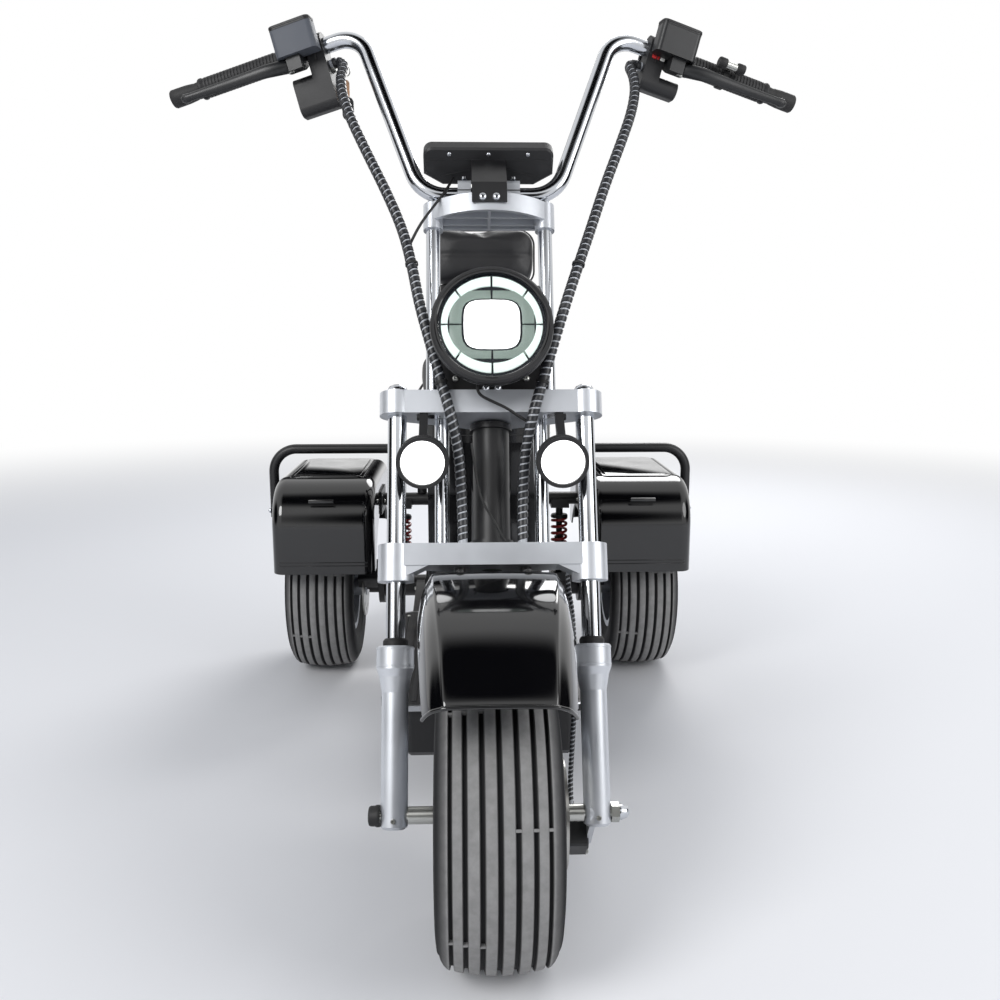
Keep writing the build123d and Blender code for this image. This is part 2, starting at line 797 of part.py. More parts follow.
# Display bracket: a folded strip from the front of the top clamp to the back of the case
back_centre = side_view.to_local_coords(display_plane.offset(display_t / 2).origin)
back_up = side_view.to_local_coords(display_plane.offset(display_t / 2).origin + display_plane.y_dir) - back_centre
fold_s = top_clamp_high + 14
clamp_front = -top_reach - seat_gap
with BuildPart() as display_bracket:
    with BuildSketch(side_view.offset(-display_bracket_w / 2)):
        with BuildLine():
            upper = back_centre + back_up * 12
            lower = back_centre - back_up * 4
            Polyline(
                (clamp_front - display_bracket_t, top_clamp_high - 18),
                (clamp_front - display_bracket_t, fold_s),
                (upper.X, upper.Y),
                (lower.X, lower.Y),
                (clamp_front, fold_s - 4),
                (clamp_front, top_clamp_high - 18),
                close=True,
            )
        make_face()
    extrude(amount=display_bracket_w)
save(display_bracket.part, "display_bracket")

# The two straight ends of the bar, as planes whose x runs outwards and y backwards
bar_flats = {}
for side in (-1, 1):
    corner = fork_point(side * bar_top_x, bar_back, bar_top_s)
    tip = fork_point(side * bar_tip_x, bar_tip_back, bar_tip_s)
    outwards = (tip - corner).normalized()
    up = (Vector(0, 0, 1) - outwards * outwards.Z).normalized()
    bar_flats[side] = Plane(origin=corner, x_dir=outwards, z_dir=up)
bar_end_run = (fork_point(bar_tip_x, bar_tip_back, bar_tip_s) - fork_point(bar_top_x, bar_back, bar_top_s)).length


def bar_plane(side, distance):
    """The plane across the bar at a distance from its upper corner, facing outwards."""
    flat = bar_flats[side]
    return Plane(origin=flat.origin + flat.x_dir * distance, x_dir=flat.z_dir, z_dir=flat.x_dir)


# Grips: rubber sleeves with a flange at the inner end
with BuildPart() as grips:
    for side in (-1, 1):
        with BuildSketch(bar_plane(side, grip_start)):
            Circle(grip_r)
        extrude(amount=grip_end - grip_start)
        with BuildSketch(bar_plane(side, grip_start)):
            Circle(grip_r + 4)
        extrude(amount=5)
        with BuildSketch(bar_plane(side, grip_start)):
            Circle(bar_r + fit_gap)
        extrude(amount=grip_end - grip_start, mode=Mode.SUBTRACT)
save(grips.part, "grips")

# Bar end caps: sleeves over the bar's tips
with BuildPart() as bar_ends:
    for side in (-1, 1):
        with BuildSketch(bar_plane(side, grip_end + seat_gap)):
            Circle(bar_end_r + 2)
        extrude(amount=bar_end_run - grip_end + 4)
        with BuildSketch(bar_plane(side, grip_end + seat_gap)):
            Circle(bar_r + fit_gap)
        extrude(amount=bar_end_run - grip_end, mode=Mode.SUBTRACT)
save(bar_ends.part, "bar_end_caps")

# Switch and throttle pods round the bar beside the perches
with BuildPart() as pods:
    for side in (-1, 1):
        drop = pod_drops[side]
        with BuildSketch(bar_plane(side, pod_start)):
            Circle(pod_r)
            with Locations((-drop / 2, 0)):
                RectangleRounded(drop, pod_depth, pod_depth / 2 - 5)
            Circle(bar_r + fit_gap, mode=Mode.SUBTRACT)
        extrude(amount=pod_end - pod_start)
        foot_h = drop + pod_foot_high
        with BuildSketch(bar_plane(side, pod_start)):
            with Locations((-drop + foot_h / 2, 0)):
                RectangleRounded(foot_h, pod_depth, 13)
        extrude(amount=pod_foot_end - pod_start)
save(pods.part, "switch_pods")

# Brake perches: a collar on the bar, a body ahead of it and a fluid reservoir with a mirror hole
with BuildPart() as perches:
    for side in (-1, 1):
        flat = bar_flats[side]
        with BuildSketch(bar_plane(side, perch_start)):
            Circle(perch_r)
            with Locations((-perch_drop, side * (perch_reach - 10))):
                Rectangle(perch_arm_h, 20)
            make_hull()
            Circle(bar_r + fit_gap, mode=Mode.SUBTRACT)
        extrude(amount=perch_end - perch_start)
        with BuildSketch(flat.offset(reservoir_low)):
            with Locations((reservoir_along, -side * reservoir_ahead)):
                RectangleRounded(reservoir_w, reservoir_d, 8)
        extrude(amount=reservoir_high - reservoir_low)
        with BuildSketch(flat.offset(reservoir_high)):
            with Locations((reservoir_along + reservoir_w / 2 - mirror_hole_in, -side * reservoir_ahead)):
                Circle(mirror_hole_r)
        extrude(amount=-mirror_hole_depth, mode=Mode.SUBTRACT)
save(perches.part, "brake_perches")

# Brake levers: blades ahead of the grips, with a round end
with BuildPart() as levers:
    for side in (-1, 1):
        flat = bar_flats[side]
        with BuildSketch(flat.offset(-perch_drop - lever_t / 2)):
            with BuildLine():
                Polyline(
                    (perch_end, -side * 26),
                    (perch_end, -side * 44),
                    (perch_end + 40, -side * 50),
                    (lever_tip, -side * (lever_reach + 5)),
                    (lever_tip, -side * (lever_reach - 4)),
                    (perch_end + 44, -side * 38),
                    close=True,
                )
            make_face()
            with Locations((lever_tip, -side * lever_reach)):
                Circle(8)
        extrude(amount=lever_t)
save(levers.part, "brake_levers")

# Cable bundles: spiral-wrapped looms from the pods down to the lower clamp
bundle_exit_up = -30.0
bundle_turn_along = 34.0
bundles = {
    # across, behind the legs, along the legs, after the short run out of the pod
    "right": (
        (-240, 2, 1140),
        (-224, -14, 1076),
        (-192, -24, 1000),
        (-160, -30, 930),
        (-133, -36, 862),
        (-118, -46, 798),
        (-107, -52, 735),
        (-90, -48, 672),
        (-74, -41, 614),
        (-60, -37, 566),
        (-49, -18, 516),
        (-46, -6, 464),
        (-44, 0, 420),
        (-44, 0, lower_clamp_high + seat_gap),
    ),
    "left": (
        (243, 2, 1146),
        (234, -12, 1086),
        (208, -24, 1012),
        (180, -30, 938),
        (155, -36, 862),
        (133, -46, 798),
        (112, -52, 735),
        (92, -48, 672),
        (75, -41, 614),
        (60, -37, 566),
        (49, -18, 516),
        (46, -6, 464),
        (44, 0, 420),
        (44, 0, lower_clamp_high + seat_gap),
    ),
}
for side_name, route in bundles.items():
    side = 1 if side_name == "left" else -1
    points = [
        bar_flats[side].from_local_coords((pod_start - seat_gap, 0, bundle_exit_up)),
        bar_flats[side].from_local_coords((bundle_turn_along, 0, bundle_exit_up)),
    ]
    points += [fork_point(*place) for place in route]
    print("cable bundle", side_name, "points", [tuple(round(c / 1000, 4) for c in point) for point in points])
    radii = bend_radii(points)
    print("cable bundle", side_name, "radii", [round(value) for value in radii])
    with BuildPart() as bundle:
        with BuildLine() as bundle_path:
            FilletPolyline(*points, radius=radii)
        with BuildSketch(tube_plane(bundle_path.line)):
            Circle(bundle_r)
        sweep()
    length = sum(edge.length for edge in bundle_path.edges())
    share = bundle.part.volume / (length * pi * bundle_r**2)
    print("cable bundle", side_name, "length", round(length), "volume share", round(share, 4))
    save(bundle.part, f"cable_bundle_{side_name}")

# Brake calipers: a block over the disc's edge, thick on the side away from the wheel
calipers = [
    # name, direction of the caliper from the axle (rearwards, up)
    ("front", (0.647, -0.762)),
    ("rear_left", (-0.707, 0.707)),
    ("rear_right", (-0.707, 0.707)),
]
for (name, wheel_x, wheel_y, disc_side, disc_x, hub_half_w), (_, toward) in zip(wheels, calipers):
    radial = Vector(0, toward[0], toward[1])
    disc_centre = Vector(wheel_x + disc_side * disc_x, wheel_y, axle_z)
    block_centre = disc_r + caliper_bridge - caliper_h / 2
    across = Plane(origin=disc_centre, x_dir=radial, z_dir=(disc_side, 0, 0))
    with BuildPart() as caliper:
        with BuildSketch(across.offset(-caliper_slot / 2 - caliper_inner_t)):
            with Locations((block_centre, 0)):
                RectangleRounded(caliper_h, caliper_l, 6)
        extrude(amount=caliper_inner_t + caliper_slot + caliper_outer_t)
        with BuildSketch(across.offset(-caliper_slot / 2)):
            Circle(disc_r + 1.5)
        extrude(amount=caliper_slot, mode=Mode.SUBTRACT)
    save(caliper.part, f"{name}_caliper")

# Front brake hose: from under the lower clamp, behind the left slider, to the back of the caliper
hose_end = Plane(
    origin=(front_disc_x, front_axle_y, axle_z),
    x_dir=(0, *calipers[0][1]),
    z_dir=(1, 0, 0),
)
hose_x = caliper_slot / 2 + caliper_outer_t / 2
hose_face = caliper_l / 2 + seat_gap
hose_points = [
    fork_point(112, 30, lower_bridge_low - seat_gap),
    fork_point(112, 30.5, 322),
    fork_point(119, 37, 280),
    fork_point(120, 40, 225),
    fork_point(119, 46, 150),
    fork_point(116, 64, 90),
    hose_end.from_local_coords((disc_r + caliper_bridge - caliper_h / 2, hose_face + 34, hose_x)),
    hose_end.from_local_coords((disc_r + caliper_bridge - caliper_h / 2, hose_face, hose_x)),
]
hose_radii = bend_radii(hose_points)
print("brake hose radii", [round(value) for value in hose_radii])
print("brake hose points", [tuple(round(c / 1000, 4) for c in point) for point in hose_points])
with BuildPart() as hose:
    with BuildLine() as hose_path:
        FilletPolyline(*hose_points, radius=hose_radii)
    with BuildSketch(tube_plane(hose_path.line)):
        Circle(hose_r)
    sweep()
hose_length = sum(edge.length for edge in hose_path.edges())
share = hose.part.volume / (hose_length * pi * hose_r**2)
print("brake hose length", round(hose_length), "volume share", round(share, 4))
save(hose.part, "front_brake_hose")

# Front fender: an arched shell with a flat crown and slanted sides, bolted under the lower clamp
fender_mid = Vector(0, front_axle_y + front_fender_centre_back, axle_z + front_fender_centre_up)
lug_x = 48.0
lug_back = 12.0
lug_r = 9.0
fender_sections = [
    # degrees behind the top, half crown, half width at the skirt's edge, skirt depth
    (-49, 68, 92, 42),
    (-34, 72, 98, 54),
    (-16, 80, 103, 60),
    (6, 88, 107, 62),
    (34, 90, 107, 64),
    (62, 86, 105, 58),
]
with BuildPart() as front_fender:
    for degrees, crown, skirt, depth in fender_sections:
        lean_y = sin(radians(degrees))
        lean_z = cos(radians(degrees))
        shoulder = crown + 0.7 * (skirt - crown)
        shoulder_r = front_fender_r - 0.35 * depth
        outside = [
            (skirt, front_fender_r - depth),
            (shoulder, shoulder_r),
            (crown, front_fender_r),
            (0, front_fender_r + front_fender_arch),
        ]
        inside = [
            (0, front_fender_r + front_fender_arch - shell_t),
            (crown - shell_t / 2, front_fender_r - shell_t),
            (shoulder - shell_t, shoulder_r - shell_t / 4),
            (skirt - shell_t, front_fender_r - depth),
        ]
        with BuildSketch(Plane(origin=fender_mid, x_dir=(1, 0, 0), z_dir=(0, -lean_z, lean_y))):
            with BuildLine():
                Polyline(
                    *outside,
                    *[(-x, r) for x, r in reversed(outside[:-1])],
                    *[(-x, r) for x, r in reversed(inside[1:])],
                    *inside,
                    close=True,
                )
            make_face()
    loft()
    lug_foot = fork_point(0, lug_back, lower_bridge_low) - fender_mid
    lug_drop = lug_foot.Y * rake_sin + lug_foot.Z * rake_cos
    lug_reach = lug_drop - (lug_drop**2 - lug_foot.length**2 + front_fender_r**2) ** 0.5
    for x in (-lug_x, lug_x):
        with BuildSketch(fork.offset(lower_bridge_low)):
            with Locations((x, lug_back)):
                Circle(lug_r)
        extrude(amount=-lug_reach - front_fender_lug_sink)
save(front_fender.part, "front_fender")

# Battery tray under the deck
with BuildPart() as tray:
    with BuildSketch(Plane.XY.offset(tray_low)):
        with Locations((0, (tray_front + tray_rear) / 2)):
            RectangleRounded(2 * tray_half_w, tray_rear - tray_front, 14)
    extrude(amount=tray_high - tray_low)
    chamfer(tray.faces().sort_by(Axis.Z)[0].edges(), length=10)
save(tray.part, "battery_tray")

# Deck: the flat footboard on the tray, cut round the backbone
deck_top = tray_high + deck_t
with BuildPart() as deck:
    with BuildSketch(Plane.XY.offset(tray_high)):
        with Locations((0, (tray_front + tray_rear) / 2)):
            RectangleRounded(2 * deck_half_w, tray_rear - tray_front + 16, 40)
        with Locations((0, backbone_foot.Y)):
            Circle(backbone_r + seat_gap, mode=Mode.SUBTRACT)
    extrude(amount=deck_t)
save(deck.part, "footboard")

# Body housing between the deck and the saddle: wider under the seat, cut away over the motor
body_middle = (body_front - body_lean + body_rear) / 2
with BuildPart() as body:
    with BuildSketch(Plane.YZ.offset(-body_top_half_w)):
        with BuildLine():
            Polyline(
                (body_front, deck_top),
                (tray_rear - 6, deck_top),
                (body_rear, body_rear_low),
                (body_rear, body_top),
                (body_front - body_lean, body_top),
                (body_front - body_lean, body_flare_high),
                (body_front, body_step_z),
                close=True,
            )
        make_face()
    extrude(amount=2 * body_top_half_w)
    with BuildSketch(Plane.XZ.offset(-body_front + body_lean + 10)):
        with BuildLine():
            Polyline(
                (-body_half_w, deck_top),
                (body_half_w, deck_top),
                (body_half_w, body_flare_low),
                (body_top_half_w, body_flare_high),
                (body_top_half_w, body_top),
                (-body_top_half_w, body_top),
                (-body_top_half_w, body_flare_high),
                (-body_half_w, body_flare_low),
                close=True,
            )
        make_face()
    extrude(amount=-(body_rear - body_front + body_lean + 20), mode=Mode.INTERSECT)
    with BuildSketch(Plane.XY.offset(deck_top)):
        with Locations((0, body_middle)):
            RectangleRounded(2 * body_top_half_w, body_rear - body_front + body_lean, body_edge_r)
    extrude(amount=body_top - deck_top, mode=Mode.INTERSECT)
save(body.part, "body_housing")

# Seat pan, saddle cushion and backrest
with BuildPart() as seat_pan:
    with BuildSketch(Plane.XY.offset(body_top)):
        with Locations((0, (saddle_front + saddle_rear) / 2)):
            RectangleRounded(2 * saddle_half_w - 24, saddle_rear - saddle_front - 24, 40)
    extrude(amount=seat_pan_t)
save(seat_pan.part, "seat_pan")

saddle_low = body_top + seat_pan_t
with BuildPart() as saddle:
    with BuildSketch(Plane.XY.offset(saddle_low)):
        with Locations((0, (saddle_front + saddle_rear) / 2)):
            RectangleRounded(2 * saddle_half_w, saddle_rear - saddle_front, 60)
    extrude(amount=saddle_t)
    fillet(saddle.faces().sort_by(Axis.Z)[-1].edges(), radius=30)
save(saddle.part, "saddle_cushion")

# Backrest pad on two bent tubes that rise behind the body
lean_sin = sin(radians(backrest_lean))
lean_cos = cos(radians(backrest_lean))
backrest_plane = Plane(
    origin=(0, backrest_y, backrest_low + backrest_h / 2),
    x_dir=(1, 0, 0),
    z_dir=(0, -lean_cos, lean_sin),
)
with BuildPart() as backrest:
    with BuildSketch(backrest_plane.offset(-backrest_t / 2)):
        RectangleRounded(backrest_w, backrest_h, 34)
    extrude(amount=backrest_t)
    fillet(backrest.faces().sort_by(Axis.Y)[0].edges(), radius=18)
save(backrest.part, "backrest_cushion")

pad_back = backrest_plane.offset(-backrest_t / 2 - backrest_tube_r - seat_gap)
tube_top = pad_back.origin + pad_back.y_dir * 40
tube_knee = pad_back.origin - pad_back.y_dir * 190
with BuildPart() as backrest_frame:
    with BuildLine() as backrest_path:
        FilletPolyline(
            (-backrest_tube_x, subframe_rear - 120, subframe_z + subframe_tube_r + seat_gap),
            (-backrest_tube_x, subframe_rear - 120, 640),
            (-backrest_tube_x, tube_knee.Y, tube_knee.Z),
            (-backrest_tube_x, tube_top.Y, tube_top.Z),
            (backrest_tube_x, tube_top.Y, tube_top.Z),
            (backrest_tube_x, tube_knee.Y, tube_knee.Z),
            (backrest_tube_x, subframe_rear - 120, 640),
            (backrest_tube_x, subframe_rear - 120, subframe_z + subframe_tube_r + seat_gap),
            radius=[90, 90, 30, 30, 90, 90],
        )
    with BuildSketch(tube_plane(backrest_path.line)):
        Circle(backrest_tube_r)
    sweep()
save(backrest_frame.part, "backrest_frame")

# Rear axle beam: the tube with end flanges and stubs, the gear housing and the shock pads
beam_plane = Plane(origin=(0, rear_axle_y, axle_z), x_dir=(0, 1, 0), z_dir=(1, 0, 0))
motor_at = (-motor_ahead, motor_z - axle_z)
bracket_end_x = half_track - rear_disc_in - caliper_slot / 2 - caliper_outer_t
with BuildPart() as beam:
    with BuildSketch(beam_plane):
        Circle(beam_r)
    extrude(amount=beam_end_x, both=True)
    for side in (-1, 1):
        with BuildSketch(beam_plane.offset(side * beam_end_x)):
            Circle(44)
            with Locations((-46, 46)):
                Circle(22)
            make_hull()
        extrude(amount=side * (bracket_end_x - beam_end_x))
        with BuildSketch(beam_plane.offset(side * bracket_end_x)):
            Circle(stub_r + 8)
        extrude(amount=side * (half_track - rear_disc_in - disc_t / 2 - 8 - bracket_end_x))
        with BuildSketch(Plane.XY.offset(axle_z)):
            with Locations((side * shock_x, rear_axle_y)):
                Rectangle(shock_pad_w, shock_pad_w)
        extrude(amount=shock_pad_z - axle_z)
        with BuildSketch(beam_plane.offset(side * arm_x - arm_half_w)):
            with Locations((-arm_pad_reach / 2, 0)):
                Rectangle(arm_pad_reach, arm_h)
        extrude(amount=2 * arm_half_w)
    with BuildSketch(beam_plane):
        Circle(stub_r)
    extrude(amount=half_track + rear_hub_in + 14, both=True)
    for side in (-1, 1):
        with BuildSketch(beam_plane.offset(side * (half_track + rear_hub_in + 1))):
            RegularPolygon(15, 6, major_radius=False)
        extrude(amount=side * 10)
    with BuildSketch(beam_plane.offset(gearbox_low_x)):
        Circle(gearbox_r)
        with Locations(motor_at):
            Circle(gearbox_r - 24)
        make_hull()
    extrude(amount=gearbox_high_x - gearbox_low_x)
save(beam.part, "rear_axle_beam")

with BuildPart() as motor:
    with BuildSketch(beam_plane.offset(gearbox_low_x - motor_l)):
        with Locations(motor_at):
            Circle(motor_r)
    extrude(amount=motor_l)
save(motor.part, "motor")

# Trailing arms from the back of the tray to the beam
with BuildPart() as arms:
    for side in (-1, 1):
        with BuildSketch(Plane.YZ.offset(side * arm_x - arm_half_w)):
            with BuildLine():
                Polyline(
                    (tray_rear, tray_low + 20),
                    (rear_axle_y - arm_pad_reach, axle_z - arm_h / 2),
                    (rear_axle_y - arm_pad_reach, axle_z + arm_h / 2),
                    (tray_rear, tray_low + 20 + arm_h),
                    close=True,
                )
            make_face()
        extrude(amount=2 * arm_half_w)
save(arms.part, "trailing_arms")

# Subframe: two rails from the body, a cross tube over the axle, pads for the shocks and fenders
cross_end = rear_fender_in_x - shell_t
with BuildPart() as subframe:
    for side in (-1, 1):
        with BuildSketch(Plane.XZ.offset(-body_rear)):
            with Locations((side * subframe_x, subframe_z)):
                Circle(subframe_tube_r)
        extrude(amount=-(subframe_rear - body_rear))
    with BuildSketch(Plane.YZ.offset(-cross_end)):
        with Locations((rear_axle_y, subframe_z)):
            Circle(subframe_tube_r)
    extrude(amount=2 * cross_end)
    for side in (-1, 1):
        with BuildSketch(Plane.XY.offset(subframe_z)):
            with Locations((side * shock_x, rear_axle_y)):
                Rectangle(shock_pad_w, shock_pad_w)
        extrude(amount=-subframe_tube_r - shock_pad_t)
        with BuildSketch(Plane.YZ.offset(side * cross_end)):
            with Locations((rear_axle_y, subframe_z)):
                RectangleRounded(120, 60, 10)
        extrude(amount=side * (shell_t))
    with BuildSketch(Plane.XZ.offset(-subframe_rear)):
        with Locations((0, subframe_z)):
            RectangleRounded(2 * subframe_x + 50, 50, 8)
    extrude(amount=-5)
save(subframe.part, "rear_subframe")

# Shock absorbers: a damper inside a coil between the beam and the cross tube
shock_top = subframe_z - subframe_tube_r - shock_pad_t
with BuildPart() as shocks:
    for side in (-1, 1):
        with BuildSketch(Plane.XY.offset(shock_pad_z)):
            with Locations((side * shock_x, rear_axle_y)):
                Circle(shock_rod_r)
        extrude(amount=shock_top - shock_pad_z)
        with BuildSketch(Plane.XY.offset(shock_pad_z + 16)):
            with Locations((side * shock_x, rear_axle_y)):
                Circle(shock_r)
        extrude(amount=shock_top - shock_pad_z - 32)
save(shocks.part, "shock_absorbers")


def rear_fender_block(inset, side):
    """The solid rear fender form, inset by a wall, on one side of the vehicle."""
    half_l = rear_fender_half_l - inset
    drop = 30 if inset else 0
    x_low = side * (rear_fender_in_x + inset)
    x_high = side * (rear_fender_out_x - inset)
    with BuildPart() as block:
        with BuildSketch(Plane.YZ.offset(min(x_low, x_high))):
            with BuildLine():
                Polyline(
                    (rear_axle_y - half_l, rear_fender_front_z - drop),
                    (rear_axle_y - half_l, rear_fender_top - inset),
                    (rear_axle_y + half_l, rear_fender_top - inset),
                    (rear_axle_y + half_l, rear_fender_rear_z - drop),
                    close=True,
                )
            profile = make_face()
            fillet(profile.vertices().group_by(Axis.Y)[-1], radius=rear_fender_corner_r - inset)
        extrude(amount=abs(x_high - x_low))
        rim_edges = block.edges().filter_by(
            lambda e: e.center().Z > rear_fender_rear_z and e.bounding_box().size.X < 0.01
        )
        fillet(rim_edges, radius=rear_fender_edge_r - inset)
    return block.part


for side_name, side in (("left", 1), ("right", -1)):
    fender_solid = rear_fender_block(0, side)
    fender_hollow = rear_fender_block(shell_t, side)
    with BuildPart() as rear_fender:
        add(fender_solid)
        add(fender_hollow, mode=Mode.SUBTRACT)
        with BuildSketch(beam_plane):
            Circle(tyre_r + wheel_arch_gap)
        extrude(amount=overall_length, both=True, mode=Mode.SUBTRACT)
    save(rear_fender.part, f"rear_fender_{side_name}")

# Grab bars: bent tubes from the cross tube, over each fender and down its outer side
for side_name, side in (("left", 1), ("right", -1)):
    with BuildPart() as grab_bar:
        with BuildLine() as grab_path:
            FilletPolyline(
                (side * grab_bar_in_x, rear_axle_y, subframe_z + subframe_tube_r + seat_gap),
                (side * grab_bar_in_x, rear_axle_y, grab_bar_z),
                (side * grab_bar_x, rear_axle_y, grab_bar_z),
                (side * grab_bar_x, rear_axle_y, grab_bar_foot_z),
                radius=[44, grab_bend_r],
            )
        with BuildSketch(tube_plane(grab_path.line)):
            Circle(grab_bar_r)
        sweep()
        with BuildSketch(Plane.YZ.offset(side * rear_fender_out_x)):
            with Locations((rear_axle_y, grab_bar_foot_z + 16)):
                RectangleRounded(28, 28, 5)
        extrude(amount=side * (grab_bar_x - rear_fender_out_x))
    save(grab_bar.part, f"grab_bar_{side_name}")

# Tail lamps on the back of the fenders
fender_mid_x = (rear_fender_in_x + rear_fender_out_x) / 2
with BuildPart() as tail_lamps:
    for side in (-1, 1):
        with BuildSketch(Plane.XZ.offset(-rear_axle_y - rear_fender_half_l)):
            with Locations((side * fender_mid_x, tail_lamp_z)):
                RectangleRounded(tail_lamp_w, tail_lamp_h, 10)
        extrude(amount=-(rear_overhang - rear_fender_half_l))
save(tail_lamps.part, "tail_lamps")

# Plate bracket hung from the back of the subframe
with BuildPart() as plate_bracket:
    with BuildSketch(Plane.XZ.offset(-subframe_rear - 5)):
        with Locations((0, subframe_z - plate_bracket_h / 2 + 20)):
            RectangleRounded(plate_bracket_w, plate_bracket_h, 8)
            with Locations((-plate_hole_spacing / 2, -20), (plate_hole_spacing / 2, -20)):
                Circle(plate_hole_r, mode=Mode.SUBTRACT)
    extrude(amount=-plate_bracket_t)
save(plate_bracket.part, "plate_bracket")
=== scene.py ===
from math import cos, pi, radians, sin

import bmesh
import bpy
from mathutils import Matrix, Vector


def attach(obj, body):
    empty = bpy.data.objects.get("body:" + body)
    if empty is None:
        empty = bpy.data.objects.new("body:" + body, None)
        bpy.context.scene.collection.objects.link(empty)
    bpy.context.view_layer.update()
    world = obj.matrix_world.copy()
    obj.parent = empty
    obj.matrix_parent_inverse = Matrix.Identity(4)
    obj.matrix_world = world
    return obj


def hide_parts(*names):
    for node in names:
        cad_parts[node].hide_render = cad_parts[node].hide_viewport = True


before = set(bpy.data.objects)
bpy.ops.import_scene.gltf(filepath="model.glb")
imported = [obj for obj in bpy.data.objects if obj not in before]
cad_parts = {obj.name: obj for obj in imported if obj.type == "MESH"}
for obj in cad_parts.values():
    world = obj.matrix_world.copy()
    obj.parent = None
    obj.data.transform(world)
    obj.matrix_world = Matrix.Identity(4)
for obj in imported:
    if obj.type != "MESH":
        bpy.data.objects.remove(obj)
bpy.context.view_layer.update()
scene = bpy.context.scene
scene.view_settings.view_transform = "Standard"

# Studio: a wide pale floor with soft lamps above the front corners and behind.
# The floor turns white away from the object, as the world does, so that no horizon shows.
# The camera stands low in front of the wheel, turned a little to the vehicle's left.
camera_place = Vector((-0.039, -1.8965, 0.882))
camera_down = radians(10.5)
camera_turn = radians(2.02)
camera_lens_mm = 35.3
floor_r = 30.0
floor_colour = "#e8e8ea"
backdrop_colour = "#ffffff"
white_from = 2.6
white_to = 6.0


def linear(code):
    """An sRGB hex colour as linear red, green, blue and alpha."""
    parts = [int(code[i : i + 2], 16) / 255 for i in (1, 3, 5)]
    return (*(p / 12.92 if p <= 0.04045 else ((p + 0.055) / 1.055) ** 2.4 for p in parts), 1.0)


def put(tree, kind, settings=(), links=()):
    """Adds a node, with its settings by property or socket and its links by socket."""
    made = tree.nodes.new(kind)
    for key, value in dict(settings).items():
        if isinstance(key, str) and hasattr(made, key):
            setattr(made, key, value)
        else:
            made.inputs[key].default_value = value
    for key, output in dict(links).items():
        tree.links.new(output, made.inputs[key])
    return made


def start_finish(name, settings):
    """A new material with its Principled shader set; gives the material, its tree and the shader."""
    material = bpy.data.materials.new(name)
    material.use_nodes = True
    surface = material.node_tree.nodes["Principled BSDF"]
    for key, value in settings.items():
        surface.inputs[key].default_value = value
    return material, material.node_tree, surface


def sees_backdrop(tree):
    """The math node that is 1 for camera, glossy and transmission rays, which show the backdrop."""
    ray = put(tree, "ShaderNodeLightPath").outputs
    seen = ray["Is Camera Ray"]
    for kind in ("Is Glossy Ray", "Is Transmission Ray"):
        math = put(tree, "ShaderNodeMath", {"operation": "MAXIMUM"}, {0: seen, 1: ray[kind]})
        seen = math.outputs[0]
    return math


def link_up(obj):
    """Puts an object in the scene and gives it back."""
    scene.collection.objects.link(obj)
    return obj


def add_mesh(name, bm, *materials):
    """Puts a bmesh in the scene as an object with its materials."""
    mesh = bpy.data.meshes.new(name)
    bm.to_mesh(mesh)
    bm.free()
    for material in materials:
        mesh.materials.append(material)
    return link_up(bpy.data.objects.new(name, mesh))


camera = link_up(bpy.data.objects.new("camera", bpy.data.cameras.new("camera")))
camera.data.lens = camera_lens_mm
camera.data.sensor_width = 36.0
camera.data.clip_end = 80.0
camera.location = camera_place
camera.rotation_euler = (pi / 2 - camera_down, 0.0, -camera_turn)
scene.camera = camera

floor_paint, tree, surface = start_finish("floor_paint", {"Base Color": linear(floor_colour), "Roughness": 0.9})
place = put(tree, "ShaderNodeTexCoord")
away = put(tree, "ShaderNodeVectorMath", {"operation": "LENGTH"}, {0: place.outputs["Object"]})
fade = put(
    tree,
    "ShaderNodeMapRange",
    {"interpolation_type": "SMOOTHSTEP", "From Min": white_from, "From Max": white_to},
    {"Value": away.outputs["Value"]},
)
seen = sees_backdrop(tree)
amount = put(tree, "ShaderNodeMath", {"operation": "MULTIPLY"}, {0: seen.outputs[0], 1: fade.outputs["Result"]})
glow = put(tree, "ShaderNodeEmission", {"Color": linear(backdrop_colour), "Strength": 1.0})
both = put(tree, "ShaderNodeMixShader", {}, {0: amount.outputs[0], 1: surface.outputs[0], 2: glow.outputs[0]})
tree.links.new(both.outputs[0], tree.nodes["Material Output"].inputs["Surface"])
bm = bmesh.new()
bmesh.ops.create_circle(bm, cap_ends=True, segments=96, radius=floor_r)
floor = add_mesh("studio_floor", bm, floor_paint)

world = bpy.data.worlds.new("studio_world")
scene.world = world
world.use_nodes = True
tree = world.node_tree
seen = sees_backdrop(tree)
dim = put(tree, "ShaderNodeBackground", {"Color": linear("#dfe4ec"), "Strength": 0.55})
bright = put(tree, "ShaderNodeBackground", {"Color": linear(backdrop_colour), "Strength": 1.0})
both = put(tree, "ShaderNodeMixShader", {}, {0: seen.outputs[0], 1: dim.outputs[0], 2: bright.outputs[0]})
tree.links.new(both.outputs[0], tree.nodes["World Output"].inputs["Surface"])

